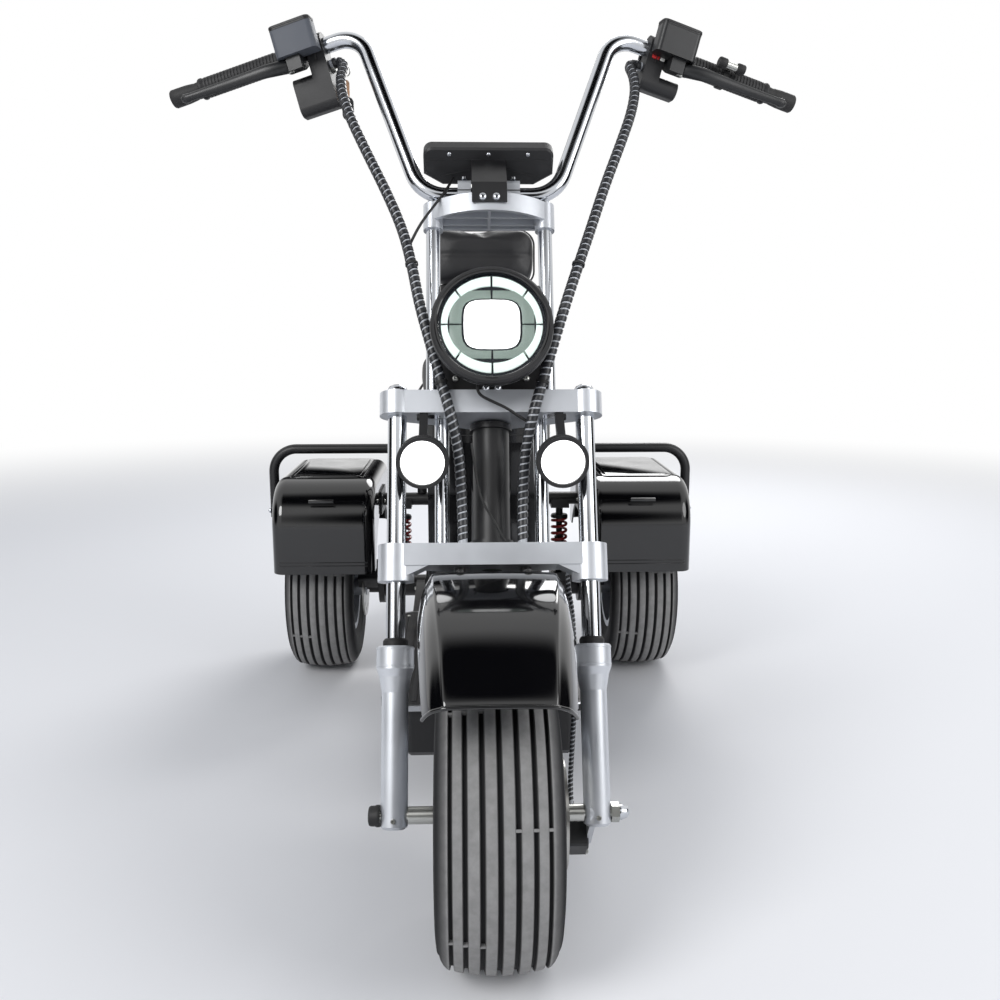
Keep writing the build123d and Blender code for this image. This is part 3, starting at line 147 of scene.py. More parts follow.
# Dark cloths round the set, which only show in gloss and chrome, as the unlit side of a studio does.
# Their edges fade, so that no hard rectangle shows in a flat panel.
cloth_paint, tree, surface = start_finish(
    "dark_studio_cloth", {"Base Color": linear("#0a0a0c"), "Roughness": 1.0, "Specular IOR Level": 0.0}
)
side_of_cloth = put(tree, "ShaderNodeUVMap", {"uv_map": "across"})
from_middle = put(tree, "ShaderNodeVectorMath", {"operation": "LENGTH"}, {0: side_of_cloth.outputs["UV"]})
fade = put(
    tree,
    "ShaderNodeMapRange",
    {"interpolation_type": "SMOOTHSTEP", "From Min": 0.45, "From Max": 1.0},
    {"Value": from_middle.outputs["Value"]},
)
open_air = put(tree, "ShaderNodeBsdfTransparent")
faded = {0: fade.outputs["Result"], 1: surface.outputs[0], 2: open_air.outputs[0]}
both = put(tree, "ShaderNodeMixShader", {}, faded)
tree.links.new(both.outputs[0], tree.nodes["Material Output"].inputs["Surface"])
dark_cloths = [
    # name, middle, aim, width, height
    ("cloth_above", (0.0, -1.2, 3.6), (0.0, -0.3, 0.6), 5.0, 3.6),
    ("cloth_ahead", (0.2, -4.6, 1.7), (0.0, 0.0, 0.9), 4.4, 4.2),
    ("cloth_left", (4.2, -0.4, 1.3), (0.0, 0.0, 0.8), 5.0, 3.6),
    ("cloth_right", (-4.2, -0.4, 1.3), (0.0, 0.0, 0.8), 5.0, 3.6),
    ("cloth_behind", (0.0, 4.6, 2.0), (0.0, 0.0, 0.8), 7.0, 3.4),
]
for name, middle, aim, width, height in dark_cloths:
    facing = (Vector(aim) - Vector(middle)).to_track_quat("Z", "Y").to_matrix().to_4x4()
    bm = bmesh.new()
    bmesh.ops.create_grid(bm, x_segments=1, y_segments=1, size=0.5)
    across = bm.loops.layers.uv.new("across")
    for loop in (one for face in bm.faces for one in face.loops):
        loop[across].uv = loop.vert.co.xy * 2.0
    bmesh.ops.scale(bm, vec=(width, height, 1.0), verts=bm.verts)
    bmesh.ops.transform(bm, matrix=Matrix.Translation(middle) @ facing, verts=bm.verts)
    cloth = add_mesh(name, bm, cloth_paint)
    cloth.visible_camera = cloth.visible_diffuse = cloth.visible_shadow = cloth.visible_transmission = False

# Lamps: three round soft boxes, above the right and left front corners and behind on the left.
# They light the object at a plain level, and the cloths above don't shade it.
lamps = [
    # name, place, aim, width, watts
    ("key_lamp", (-2.6, -3.4, 3.2), (0.0, -0.2, 0.6), 2.2, 120.0),
    ("fill_lamp", (3.2, -2.2, 2.2), (0.0, 0.0, 0.6), 2.6, 60.0),
    ("back_lamp", (1.2, 3.4, 3.0), (0.0, 0.2, 0.7), 2.4, 90.0),
]
for name, place, aim, width, watts in lamps:
    data = bpy.data.lights.new(name, "AREA")
    data.shape = "DISK"
    data.size = width
    data.energy = watts
    lamp = link_up(bpy.data.objects.new(name, data))
    lamp.location = place
    lamp.rotation_euler = (Vector(aim) - Vector(place)).to_track_quat("-Z", "Y").to_euler()


# Tyres: 16 inch rib tyres of black rubber, moulded with seven straight grooves and small tie bars.
# The ribs have gone grey with floor dust, while grooves and sidewalls stay dark.


def smooth_piece(name, bm, material, body, nodes=(), sharp_deg=38):
    """Turns a bmesh into a smooth piece with sharp corners that rides on a body."""
    bmesh.ops.recalc_face_normals(bm, faces=bm.faces)
    for face in bm.faces:
        face.smooth = True
    for edge in bm.edges:
        edge.smooth = edge.calc_face_angle(0.0) < radians(sharp_deg)
    obj = add_mesh(name, bm, material)
    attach(obj, body)
    if nodes:
        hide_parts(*nodes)
    return obj


def dress(material, *names):
    """Gives CAD nodes their material."""
    for name in names:
        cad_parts[name].material_slots[0].material = material


def emboss(tree, height, strength, depth):
    """Gives a material's Principled shader a relief from a height, its depth in metres."""
    relief = put(tree, "ShaderNodeBump", {"Strength": strength, "Distance": depth}, {"Height": height})
    tree.links.new(relief.outputs["Normal"], tree.nodes["Principled BSDF"].inputs["Normal"])


def grained(name, colour, grain_mm, depth_mm, rough, smudge=0.05, tint=0.12, **settings):
    """A finish with a fine even grain, and cloudy patches that change its gloss and tone a little."""
    material, tree, surface = start_finish(name, settings)
    place = put(tree, "ShaderNodeTexCoord").outputs["Object"]
    grain = put(tree, "ShaderNodeTexNoise", {"Scale": 1000 / grain_mm, "Detail": 2.0}, {"Vector": place})
    cloud = put(tree, "ShaderNodeTexNoise", {"Scale": 1000 / 70, "Detail": 4.0}, {"Vector": place})
    gloss = put(
        tree,
        "ShaderNodeMapRange",
        {"From Min": 0.3, "From Max": 0.7, "To Min": rough - smudge, "To Max": rough + smudge},
        {"Value": cloud.outputs["Fac"]},
    )
    dark = tuple(c * (1 - tint) for c in linear(colour)[:3]) + (1.0,)
    light = tuple(min(1.0, c * (1 + tint)) for c in linear(colour)[:3]) + (1.0,)
    tone = put(tree, "ShaderNodeMix", {"data_type": "RGBA", 6: dark, 7: light}, {0: cloud.outputs["Fac"]})
    tree.links.new(gloss.outputs["Result"], surface.inputs["Roughness"])
    tree.links.new(tone.outputs[2], surface.inputs["Base Color"])
    emboss(tree, grain.outputs["Fac"], 1.0, depth_mm / 1000)
    return material


tyre_r = 0.203
front_axle_y = -0.6335
rear_axle_y = 0.5665
rear_wheel_x = 0.395
wheels = [
    # name, body, centre x, axle y
    ("front", "front_wheel", 0.0, front_axle_y),
    ("rear_left", "rear_wheel_left", rear_wheel_x, rear_axle_y),
    ("rear_right", "rear_wheel_right", -rear_wheel_x, rear_axle_y),
]
axle_z = 0.203
groove_depth = 0.0065
grooves = [
    # centre across the tread, width
    (-0.061, 0.0054),
    (-0.0428, 0.0066),
    (-0.0215, 0.0072),
    (0.0, 0.0072),
    (0.0215, 0.0072),
    (0.0428, 0.0066),
    (0.061, 0.0054),
]

tyre_rubber, tree, surface = start_finish("moulded_tyre_rubber", {"Roughness": 0.78, "Specular IOR Level": 0.35})
place = put(tree, "ShaderNodeTexCoord").outputs["Object"]
dusty = put(tree, "ShaderNodeAttribute", {"attribute_name": "rib"})
patches = put(tree, "ShaderNodeTexNoise", {"Scale": 55.0, "Detail": 6.0, "Roughness": 0.65}, {"Vector": place})
patchy = put(
    tree,
    "ShaderNodeMapRange",
    {"From Min": 0.35, "From Max": 0.65, "To Min": 0.78, "To Max": 1.0},
    {"Value": patches.outputs["Fac"]},
)
dust = put(
    tree, "ShaderNodeMath", {"operation": "MULTIPLY"}, {0: dusty.outputs["Fac"], 1: patchy.outputs["Result"]}
)
clean_rubber, dusty_rubber = linear("#1b1b1d"), linear("#8f8e8d")
tone = put(tree, "ShaderNodeMix", {"data_type": "RGBA", 6: clean_rubber, 7: dusty_rubber}, {0: dust.outputs[0]})
grit = put(tree, "ShaderNodeTexNoise", {"Scale": 900.0, "Detail": 3.0}, {"Vector": place})
tree.links.new(tone.outputs[2], surface.inputs["Base Color"])
emboss(tree, grit.outputs["Fac"], 1.0, 0.00025)


def crown_r(x):
    """The tread's radius across the tyre: a shallow arc between the shoulders."""
    return tyre_r - 0.007 * (x / 0.062) ** 2


# Half the tyre's outline, as (x, radius, dust), runs from the bead over the sidewall to the
# shoulder, and then in and out of each groove to the middle of the tread.
half_points = [
    (0.0640, 0.1035, 0), (0.0643, 0.1125, 0), (0.0690, 0.1215, 0), (0.0755, 0.1310, 0), (0.0772, 0.1325, 0),
    (0.0787, 0.1325, 0), (0.0802, 0.1400, 0), (0.0822, 0.1530, 0), (0.0822, 0.1640, 0), (0.0806, 0.1740, 0),
    (0.0795, 0.1762, 0), (0.0782, 0.1768, 0), (0.0760, 0.1835, 0), (0.0722, 0.1895, 0.25), (0.0680, 0.1936, 0.5),
]
groove_pitch = 0.0205
lip_w, lip_h = 0.0008, 0.0009
for centre, width in grooves[:2:-1]:
    edge_out = centre + width / 2
    edge_in = centre - width / 2
    rib_mid = (edge_in + centre - groove_pitch + width / 2) / 2
    across_groove = [
        (edge_out + lip_w, crown_r(edge_out) - 0.0001, 1),
        (edge_out, crown_r(edge_out) - lip_h, 0.4),
        (centre + width * 0.3, crown_r(centre) - groove_depth, 0),
        (centre - width * 0.3, crown_r(centre) - groove_depth, 0),
        (edge_in, crown_r(edge_in) - lip_h, 0.4),
        (edge_in - lip_w, crown_r(edge_in) - 0.0001, 1),
        (rib_mid, crown_r(rib_mid), 1),
    ]
    half_points += across_groove if centre > 0 else across_groove[:3]
whole = half_points + [(-x, r, d) for x, r, d in reversed(half_points)]

tie_bar_step, tie_bar_start = 45, 22.5
tie_bar_long, tie_bar_high, tie_bar_sunk = 0.0036, 0.005, 0.0036
for name, body, wheel_x, wheel_y in wheels:
    middle = Vector((wheel_x, wheel_y, axle_z))
    bm = bmesh.new()
    rib = bm.verts.layers.float.new("rib")
    ring = []
    for x, r, d in whole:
        corner = bm.verts.new(middle + Vector((x, 0, r)))
        corner[rib] = d
        ring.append(corner)
    edges = [bm.edges.new(pair) for pair in zip(ring, ring[1:])]
    bmesh.ops.spin(bm, geom=ring + edges, cent=middle, axis=(1, 0, 0), angle=2 * pi, steps=144, use_merge=True)
    smooth_piece(f"{name}_tyre_tread", bm, tyre_rubber, body, [f"{name}_tyre"], sharp_deg=50)
    bm = bmesh.new()
    rib = bm.verts.layers.float.new("rib")
    for k in range(360 // tie_bar_step):
        spoke = Matrix.Translation(middle) @ Matrix.Rotation(radians(tie_bar_step * k + tie_bar_start), 4, "X")
        for x, width in grooves[4:] if k % 2 else grooves[:3]:
            bar_size = Matrix.Diagonal((width + 0.001, tie_bar_long, tie_bar_high, 1))
            bar = spoke @ Matrix.Translation((x, 0, crown_r(x) - tie_bar_sunk)) @ bar_size
            bmesh.ops.create_cube(bm, size=1, matrix=bar)
    for corner in bm.verts:
        corner[rib] = 1
    smooth_piece(f"{name}_tyre_tie_bars", bm, tyre_rubber, body)

# Rims: low pressure cast aluminium, painted silver, with a rubber snap-in valve in each barrel.
# Five bolts with zinc heads hold each hub. The paint gives a soft sheen over a faint cast grain,
# and the zinc a pale grey gleam.
rim_alloy = grained("cast_rim_alloy", "#a9acb1", 0.8, 0.05, 0.36, Metallic=0.85)
dress(rim_alloy, "front_rim", "rear_left_rim", "rear_right_rim")
zinc = grained("zinc_plated_steel", "#b9bab6", 1.5, 0.02, 0.3, Metallic=1.0)
hub_bolt_x, hub_bolt_r = 0.0082, 0.0405
valve_x, valve_r = 0.045, 0.0945


def stand(place, up, across=(1, 0, 0)):
    """A matrix at a place in metres, its z along one direction and its x near another."""
    z = Vector(up).normalized()
    y = z.cross(Vector(across)).normalized()
    return Matrix.Translation(place) @ Matrix((y.cross(z), y, z)).transposed().to_4x4()


def sideways(place, side):
    """A matrix at a place in metres, its z out to the left for 1 and to the right for -1."""
    return stand(place, (side, 0, 0), (0, 1, 0))


def turn(bm, frame_at, profile, steps=32):
    """Spins a profile of (radius, height) in millimetres about a matrix's z."""
    row = [bm.verts.new(frame_at @ (Vector((r, 0, h)) / 1000)) for r, h in profile]
    edges = [bm.edges.new(pair) for pair in zip(row, row[1:])]
    axis = frame_at.to_3x3() @ Vector((0, 0, 1))
    bmesh.ops.spin(
        bm, geom=row + edges, cent=frame_at.translation, axis=axis, angle=2 * pi, steps=steps, use_merge=True
    )
    bmesh.ops.remove_doubles(bm, verts=[v for v in bm.verts if v.link_edges], dist=1e-6)


def bolt(bm, frame_at, head_r, head_h, kind):
    """Adds a fastener's head: a hex with a washer, a socket head or a smooth dome."""
    if kind == "hex":
        turn(bm, frame_at, [(0, 0), (head_r * 1.35, 0), (head_r * 1.35, 1.0), (0, 1.0)], 24)
        turn(bm, frame_at, [(head_r, 1.0), (head_r, head_h - 0.8), (head_r - 1.0, head_h), (0, head_h)], 6)
    elif kind == "socket":
        wall, floor_h = head_r * 0.5, head_h * 0.4
        head = [(head_r, 0), (head_r, head_h - 0.8), (head_r - 0.8, head_h)]
        turn(bm, frame_at, [*head, (wall, head_h), (wall, floor_h), (0, floor_h)], 24)
    else:
        rim = [(head_r, 0), (head_r, head_h * 0.25)]
        dome = [(head_r * cos(radians(a)), head_h * (0.25 + 0.75 * sin(radians(a)))) for a in (20, 40, 60, 75)]
        inner_r, floor_h = head_r * 0.4, head_h * 0.55
        turn(bm, frame_at, [*rim, *dome, (inner_r, head_h), (inner_r, floor_h), (0, floor_h)], 24)


for name, body, wheel_x, wheel_y in wheels:
    outer = -1 if wheel_x < 0 else 1
    bm = bmesh.new()
    for side in (-1, 1):
        for k in range(5):
            turned = radians(72 * k + 36)
            away = Vector((0, cos(turned), sin(turned))) * hub_bolt_r
            place = Vector((wheel_x + side * hub_bolt_x, wheel_y, axle_z)) + away
            bolt(bm, sideways(place, side), 4.0, 5.0, "hex")
    smooth_piece(f"{name}_rim_bolts", bm, zinc, body)
    bm = bmesh.new()
    foot = Vector((wheel_x - outer * valve_x, wheel_y, axle_z + valve_r))
    valve = stand(foot, (-outer * 0.6, 0, -0.8), (0, 1, 0))
    turn(bm, valve, [(0, -2), (5.5, -2), (5.5, 1), (4, 4), (3.2, 16), (2.6, 17), (2.6, 22), (0, 22)], 16)
    smooth_piece(f"{name}_tyre_valve", bm, tyre_rubber, body)

# Brake discs: ground stainless steel, with fine rings left by the grinding.
# Five low bolts hold each to its hub.
disc_steel, tree, surface = start_finish("ground_disc_steel", {"Metallic": 1.0, "Base Color": linear("#b4b3b0")})
place = put(tree, "ShaderNodeTexCoord").outputs["Object"]
drawn_out = put(tree, "ShaderNodeMapping", {"Scale": (0.001, 1.0, 1.0)}, {"Vector": place})
scratch = put(tree, "ShaderNodeTexNoise", {"Scale": 700.0, "Detail": 2.0}, {"Vector": drawn_out.outputs[0]})
rough = put(tree, "ShaderNodeMapRange", {"To Min": 0.22, "To Max": 0.42}, {"Value": scratch.outputs["Fac"]})
tree.links.new(rough.outputs["Result"], surface.inputs["Roughness"])
dress(disc_steel, "front_brake_disc", "rear_left_brake_disc", "rear_right_brake_disc")

# Front axle: a zinc plated rod with turned spacers, a domed chrome nut on the left
# and a moulded black cover over the right nut. Chrome mirrors the studio with hardly any haze.
chrome = grained("chromed_steel", "#c6c9ce", 30.0, 0.01, 0.13, smudge=0.04, tint=0.03, Metallic=1.0)
black_rubber = grained("moulded_black_rubber", "#161617", 1.2, 0.1, 0.62)
dress(zinc, "front_axle")
bm = bmesh.new()
left_nut = sideways((0.1722, front_axle_y, axle_z), 1)
turn(bm, left_nut, [(11, 0), (11, 3), (9.5, 6), (9, 8), (7.8, 11), (5, 13.4), (2, 14.4), (0, 14.6)], 32)
smooth_piece("axle_dome_nut", bm, chrome, "steering")
bm = bmesh.new()
right_nut = sideways((-0.1605, front_axle_y, axle_z), -1)
turn(bm, right_nut, [(14.6, 0), (15, 2), (15, 5), (14, 7), (13.8, 13), (12.4, 15.5), (9, 16.6), (0, 17)], 32)
smooth_piece("axle_nut_cover", bm, black_rubber, "steering")

# Fork: sand cast aluminium sliders, bead blasted and clear coated, on chromed steel tubes.
# A wiper ring sits in each collar, a drain screw in each foot. Blasting leaves a fine even grain
# under a satin sheen, and the powder coat of the steel a dull black with a little orange peel.
cast_alloy = grained("blasted_cast_alloy", "#ced1d6", 0.7, 0.05, 0.36, Metallic=0.6)
black_steel = grained("powder_coated_steel", "#141416", 1.0, 0.05, 0.42)
leg_x = 141.5
upper_tube_x = 87.5
rake = radians(22)
fork = Matrix.Translation((0, front_axle_y, axle_z)) @ Matrix.Rotation(-rake, 4, "X")
dress(cast_alloy, "fork_slider_left", "fork_slider_right", "lower_clamp", "middle_clamp", "top_clamp")
dress(chrome, "fork_stanchions", "fork_thin_tubes", "handlebar")
dress(black_rubber, "fork_dust_seals")
dress(black_steel, "steering_stem")
up_fork = fork.to_3x3() @ Vector((0, 0, 1))
to_front = fork.to_3x3() @ Vector((0, -1, 0))
to_rear = fork.to_3x3() @ Vector((0, 1, 0))


def at_fork(across, back, along):
    """A place given in millimetres across, behind and along the fork's legs."""
    return fork @ (Vector((across, back, along)) / 1000)


def along_fork(across, back, along):
    """A matrix at a place on the fork, its z up the legs."""
    return stand(at_fork(across, back, along), up_fork)


def ahead_of_fork(across, back, along):
    """A matrix at a place on the fork, its z straight ahead of the legs and its y up them."""
    turned = Matrix((up_fork.cross(to_front), up_fork, to_front)).transposed().to_4x4()
    return Matrix.Translation(at_fork(across, back, along)) @ turned


bm = bmesh.new()
for side in (-1, 1):
    collar = along_fork(side * leg_x, 0, 0)
    for height in (205.0, 229.0):
        bead = [(26.9, height - 1.2), (27.6, height - 0.7), (27.6, height + 0.7), (26.9, height + 1.2)]
        turn(bm, collar, bead, 48)
smooth_piece("slider_collar_beads", bm, cast_alloy, "steering")
bm = bmesh.new()
for side in (-1, 1):
    lip = [(18, 239.5), (17.4, 241), (15.4, 243.5), (14.6, 244), (14.1, 242.5), (14.1, 239), (18, 239.5)]
    turn(bm, along_fork(side * leg_x, 0, 0), lip, 48)
smooth_piece("slider_wiper_lips", bm, black_rubber, "steering")
bm = bmesh.new()
for side in (-1, 1):
    drain = stand(at_fork(side * leg_x, -18.6, -6), to_front)
    bolt(bm, drain, 3.6, 3.0, "socket")
    pinch = stand(at_fork(side * leg_x, 18.6, 14), to_rear)
    bolt(bm, pinch, 4.2, 5.0, "socket")
smooth_piece("slider_screws", bm, zinc, "steering")

# Clamp fasteners: chromed dome caps on the stanchions and upper tubes, two bolts for the lamp
# plate, one big nut on the stem and two pinch bolts beside each leg.
bm = bmesh.new()
for side in (-1, 1):
    leg_cap = [(15.5, 0), (15.5, 3), (14.5, 5), (12.5, 8), (8, 10.5), (5, 11), (5, 7), (0, 7)]
    turn(bm, along_fork(side * leg_x, 0, 613), leg_cap, 32)
    tube_cap = [(12, 0), (12, 2), (10.5, 4.5), (6, 6), (3.4, 6), (3.4, 3), (0, 3)]
    turn(bm, along_fork(side * upper_tube_x, 0, 920), tube_cap, 32)
turn(bm, along_fork(0, 45, 614), [(19, -4), (19, 4), (17, 6), (9, 6), (8, 3), (0, 3)], 6)
for x in (-8, 10):
    bolt(bm, ahead_of_fork(x, -18, 613), 6.0, 7.0, "dome")
smooth_piece("clamp_cap_bolts", bm, chrome, "steering")
bm = bmesh.new()
for side in (-1, 1):
    for along, head_r in ((592.5, 4.0), (352.0, 4.5)):
        bolt(bm, stand(at_fork(side * 118, 21, along), to_rear), head_r, 5.0, "socket")
smooth_piece("clamp_pinch_bolts", bm, zinc, "steering")

# Headlight: a black bowl with a bezel ring, held to a steel plate between the upper tubes.
# Its face is a round ring of eight lit windows about a softly squared lens, under a clear cover.
# Moulded plastic shows a fine dull grain, and the gloss sort a clear dark mirror with faint smudges.
matte_plastic = grained("grained_black_plastic", "#19191b", 0.6, 0.06, 0.5)
clear_coat = {"Coat Weight": 0.5, "Coat Roughness": 0.04}
gloss_plastic = grained("gloss_black_plastic", "#08080a", 4.0, 0.01, 0.1, smudge=0.04, **clear_coat)
dress(matte_plastic, "headlight_shell")
dress(black_steel, "headlight_bracket")
lamp_face = ahead_of_fork(0, 0, 686)


def lit(name, colour, strength):
    """A diffusing lens with a lamp behind it, as the eye sees it switched on."""
    shade = linear(colour)
    glow = {"Base Color": shade, "Emission Color": shade, "Emission Strength": strength, "Roughness": 0.35}
    return start_finish(name, glow)[0]


# The middle lens is white hot to the eye, the ring softer and the inner windows greyed green. Behind
# them the reflector is a dim dark metal, and the cover hardly more than its own highlights.
bright_lens = lit("bright_headlight_lens", "#ffffff", 2.2)
ring_lens = lit("lit_ring_lens", "#d3e0da", 0.5)
soft_lens = lit("soft_lit_lens", "#7f8d85", 0.14)
dim_metal = {"Base Color": linear("#20242a"), "Roughness": 0.25, "Metallic": 0.6}
reflector = start_finish("dark_lamp_reflector", dim_metal)[0]
clear_cover = start_finish(
    "clear_polycarbonate",
    {"Base Color": linear("#ffffff"), "Roughness": 0.03, "IOR": 1.45, "Transmission Weight": 1.0, "Alpha": 0.25},
)[0]


def squared(half_w, half_h, degrees, power=4.0):
    """A point on a softly squared outline."""
    c, s = cos(radians(degrees)), sin(radians(degrees))
    return (
        half_w * abs(c) ** (2 / power) * (1 if c >= 0 else -1),
        half_h * abs(s) ** (2 / power) * (1 if s >= 0 else -1),
    )


def round_off(bm, edges, edge_r, segments):
    """Rounds some edges with a radius in millimetres."""
    bmesh.ops.bevel(
        bm,
        geom=edges,
        offset=edge_r / 1000,
        segments=segments,
        profile=0.5,
        affect="EDGES",
        material=-1,
        clamp_overlap=True,
    )


def plate(bm, frame_at, outline, low, high, edge, segments=2):
    """Extrudes a flat outline in millimetres between two heights and rounds its far rim."""
    row = [bm.verts.new(frame_at @ (Vector((x, y, low)) / 1000)) for x, y in outline]
    made = bmesh.ops.extrude_face_region(bm, geom=[bm.faces.new(row)])["geom"]
    raised = {v for v in made if isinstance(v, bmesh.types.BMVert)}
    rise = frame_at.to_3x3() @ Vector((0, 0, (high - low) / 1000))
    bmesh.ops.translate(bm, vec=rise, verts=list(raised))
    rim = [e for e in made if isinstance(e, bmesh.types.BMEdge) and raised.issuperset(e.verts)]
    round_off(bm, rim, edge, segments)


def window(bm, outer, inner, height, edge):
    """Raises a pane of the lamp's face between two outlines, or inside one."""
    plate(bm, lamp_face, outer + inner[::-1], height - 3.0, height, edge)


ring_out = 73.5
middle_out, middle_in = (61.4, 52.0), (44.0, 40.0)
centre_out = (40.5, 37.0)
bm = bmesh.new()
turn(bm, lamp_face, [(0, 89.0), (78.6, 89.0), (78.6, 93.2), (77.4, 93.2), (77.4, 89.6), (0, 89.6)], 64)
smooth_piece("headlight_reflector", bm, reflector, "steering", ["headlight_lens"])
bm = bmesh.new()
for k in range(8):
    spread = [45 * k + 22.5 + t * 21.2 for t in (-1, -0.75, -0.5, -0.25, 0, 0.25, 0.5, 0.75, 1)]
    outer = [(ring_out * cos(radians(a)), ring_out * sin(radians(a))) for a in spread]
    inner = [squared(middle_out[0] + 2.6, middle_out[1] + 6.6, a, 2.0) for a in spread]
    window(bm, outer, inner, 92.6, 0.7)
smooth_piece("headlight_ring_windows", bm, ring_lens, "steering")
bm = bmesh.new()
for k in range(4):
    spread = [90 * k + 45 + t for t in (-44.96, -43.5, -40, -33, -20, 0, 20, 33, 40, 43.5, 44.96)]
    outer, inner = ([squared(*half_size, a) for a in spread] for half_size in (middle_out, middle_in))
    window(bm, outer, inner, 92.2, 0.6)
smooth_piece("headlight_inner_windows", bm, soft_lens, "steering")
bm = bmesh.new()
window(bm, [squared(*centre_out, a) for a in range(0, 360, 10)], [], 93.4, 1.0)
smooth_piece("headlight_centre_lens", bm, bright_lens, "steering")
bm = bmesh.new()
turn(bm, lamp_face, [(78.8, 94.2), (76, 95.0), (60, 96.0), (30, 96.8), (0, 97.0)], 64)
smooth_piece("headlight_cover", bm, clear_cover, "steering")
bm = bmesh.new()
turn(bm, lamp_face, [(89.2, 80.5), (89.8, 81.5), (89.8, 83.0), (89.2, 84.0)], 96)
turn(bm, lamp_face, [(79.2, 96.2), (80.4, 97.2), (82.0, 97.2), (83.0, 96.2)], 96)
smooth_piece("headlight_bezel_lines", bm, gloss_plastic, "steering")
bm = bmesh.new()
for x, y in ((-54, -52), (54, -52), (-54, 88), (54, 88)):
    bolt(bm, stand(lamp_face @ (Vector((x, y, 2.5)) / 1000), to_front), 5.0, 4.5, "dome")
smooth_piece("lamp_plate_bolts", bm, zinc, "steering")

# Spot lamps: two small moulded bowls on bent arms, each with a finned back and a domed lens.
# They are lit, so the lenses show as plain white.
dress(matte_plastic, "spot_lamps")
spot_x = 101.0
spots = [stand(at_fork(side * spot_x, 0, 513), (0, -1, 0)) for side in (-1, 1)]
bm = bmesh.new()
for spot in spots:
    turn(bm, spot, [(31.6, 62.0), (31, 65.0), (26, 66.6), (14, 68.0), (0, 68.4)], 48)
spot_lens = lit("bright_spot_lens", "#ffffff", 3.0)
smooth_piece("spot_lamp_domes", bm, spot_lens, "steering", ["spot_lenses"])
bm = bmesh.new()
for side, spot in zip((-1, 1), spots):
    for depth in (46, 51, 56, 61):
        turn(bm, spot, [(36.9, depth - 1.2), (38.2, depth - 0.9), (38.2, depth + 0.9), (36.9, depth + 1.2)], 48)
    pivot = stand(at_fork(side * spot_x, -20, 568), (side, 0, 0), (0, 0, 1))
    bolt(bm, pivot @ Matrix.Translation((0, 0, 0.006)), 5.0, 4.0, "socket")
smooth_piece("spot_lamp_ribs", bm, matte_plastic, "steering")

# Handlebar: one chromed tube in two cast risers on the top clamp.
# Each riser is split along the tube, its cap held by two socket bolts.
bar_along = 939.0
riser_x = 38.5
dress(cast_alloy, "bar_risers")
bm = bmesh.new()
for side in (-1, 1):
    for back in (-13.0, 19.0):
        bolt(bm, along_fork(side * riser_x, back, 957.6), 4.6, 4.6, "socket")
smooth_piece("riser_bolts", bm, chrome, "steering")


def block(bm, frame_at, size, edge_r, segments=3):
    """Adds a box in millimetres about a matrix's place, with rounded edges."""
    made = bmesh.ops.create_cube(bm, size=0.001)["verts"]
    bmesh.ops.scale(bm, vec=size, verts=made)
    bmesh.ops.transform(bm, matrix=frame_at, verts=made)
    round_off(bm, list({e for v in made for e in v.link_edges}), edge_r, segments)


bm = bmesh.new()
for side in (-1, 1):
    for back in (-16.2, 22.2):
        seam = along_fork(side * riser_x, back, bar_along)
        block(bm, seam, (21.4, 1.6, 1.4), 0.3, 1)
    for x in (riser_x - 10.4, riser_x + 10.4):
        for back in (-12.8, 18.8):
            block(bm, along_fork(side * x, back, bar_along), (0.8, 8.0, 1.4), 0.2, 1)
smooth_piece("riser_split_lines", bm, black_rubber, "steering")

# Display: a moulded black case with a dark glass face towards the rider, three screws in its back,
# held by a folded steel bracket that two chromed bolts fix to the front of the top clamp.
display_tilt = radians(35)
display_centre = at_fork(0, 4, 996)
to_back = Vector((0, -cos(display_tilt), -sin(display_tilt)))
display_back = stand(display_centre, to_back)
display_face = stand(display_centre, -to_back)
dress(matte_plastic, "display_case")
dress(black_steel, "display_bracket")
# Smoked glass: nearly black, with sharp reflections.
glass = start_finish("smoked_display_glass", {"Base Color": linear("#06080a"), "Roughness": 0.05, "IOR": 1.52})[0]


def rounded(w, h, r, steps=5):
    """The corner-rounded outline of a rectangle in millimetres."""
    points = []
    for k, (sx, sy) in enumerate(((1, 1), (-1, 1), (-1, -1), (1, -1))):
        for t in range(steps + 1):
            a = pi / 2 * (k + t / steps)
            points.append((sx * (w / 2 - r) + r * cos(a), sy * (h / 2 - r) + r * sin(a)))
    return points


bm = bmesh.new()
glass_outline = [(-94, -22), (94, -22), (94, 12), (74, 24), (-74, 24), (-94, 12)]
plate(bm, display_face, glass_outline, 10.5, 12.2, 0.8)
smooth_piece("display_glass", bm, glass, "steering")
bm = bmesh.new()
for x in (-62, 0, 62):
    bolt(bm, display_back @ Matrix.Translation((x / 1000, 0.021, 0.0108)), 3.4, 2.2, "dome")
for x in (-10.5, 10.5):
    bolt(bm, ahead_of_fork(x, -50.3, 909), 6.2, 5.0, "dome")
bolt(bm, display_back @ Matrix.Translation((0, 0.002, 0.0155)), 5.0, 3.4, "dome")
smooth_piece("display_screws", bm, chrome, "steering")
bm = bmesh.new()
for side in (-1, 1):
    rib_at = display_back @ Matrix.Translation((side * 0.052, 0.012, 0.0112))
    block(bm, rib_at, (84, 1.2, 1.0), 0.4, 2)
    fold_at = display_back @ Matrix.Translation((side * 0.052, -0.010, 0.0112))
    block(bm, fold_at @ Matrix.Rotation(side * radians(-14), 4, "Z"), (48, 1.6, 1.4), 0.5, 2)
smooth_piece("display_back_ribs", bm, matte_plastic, "steering")

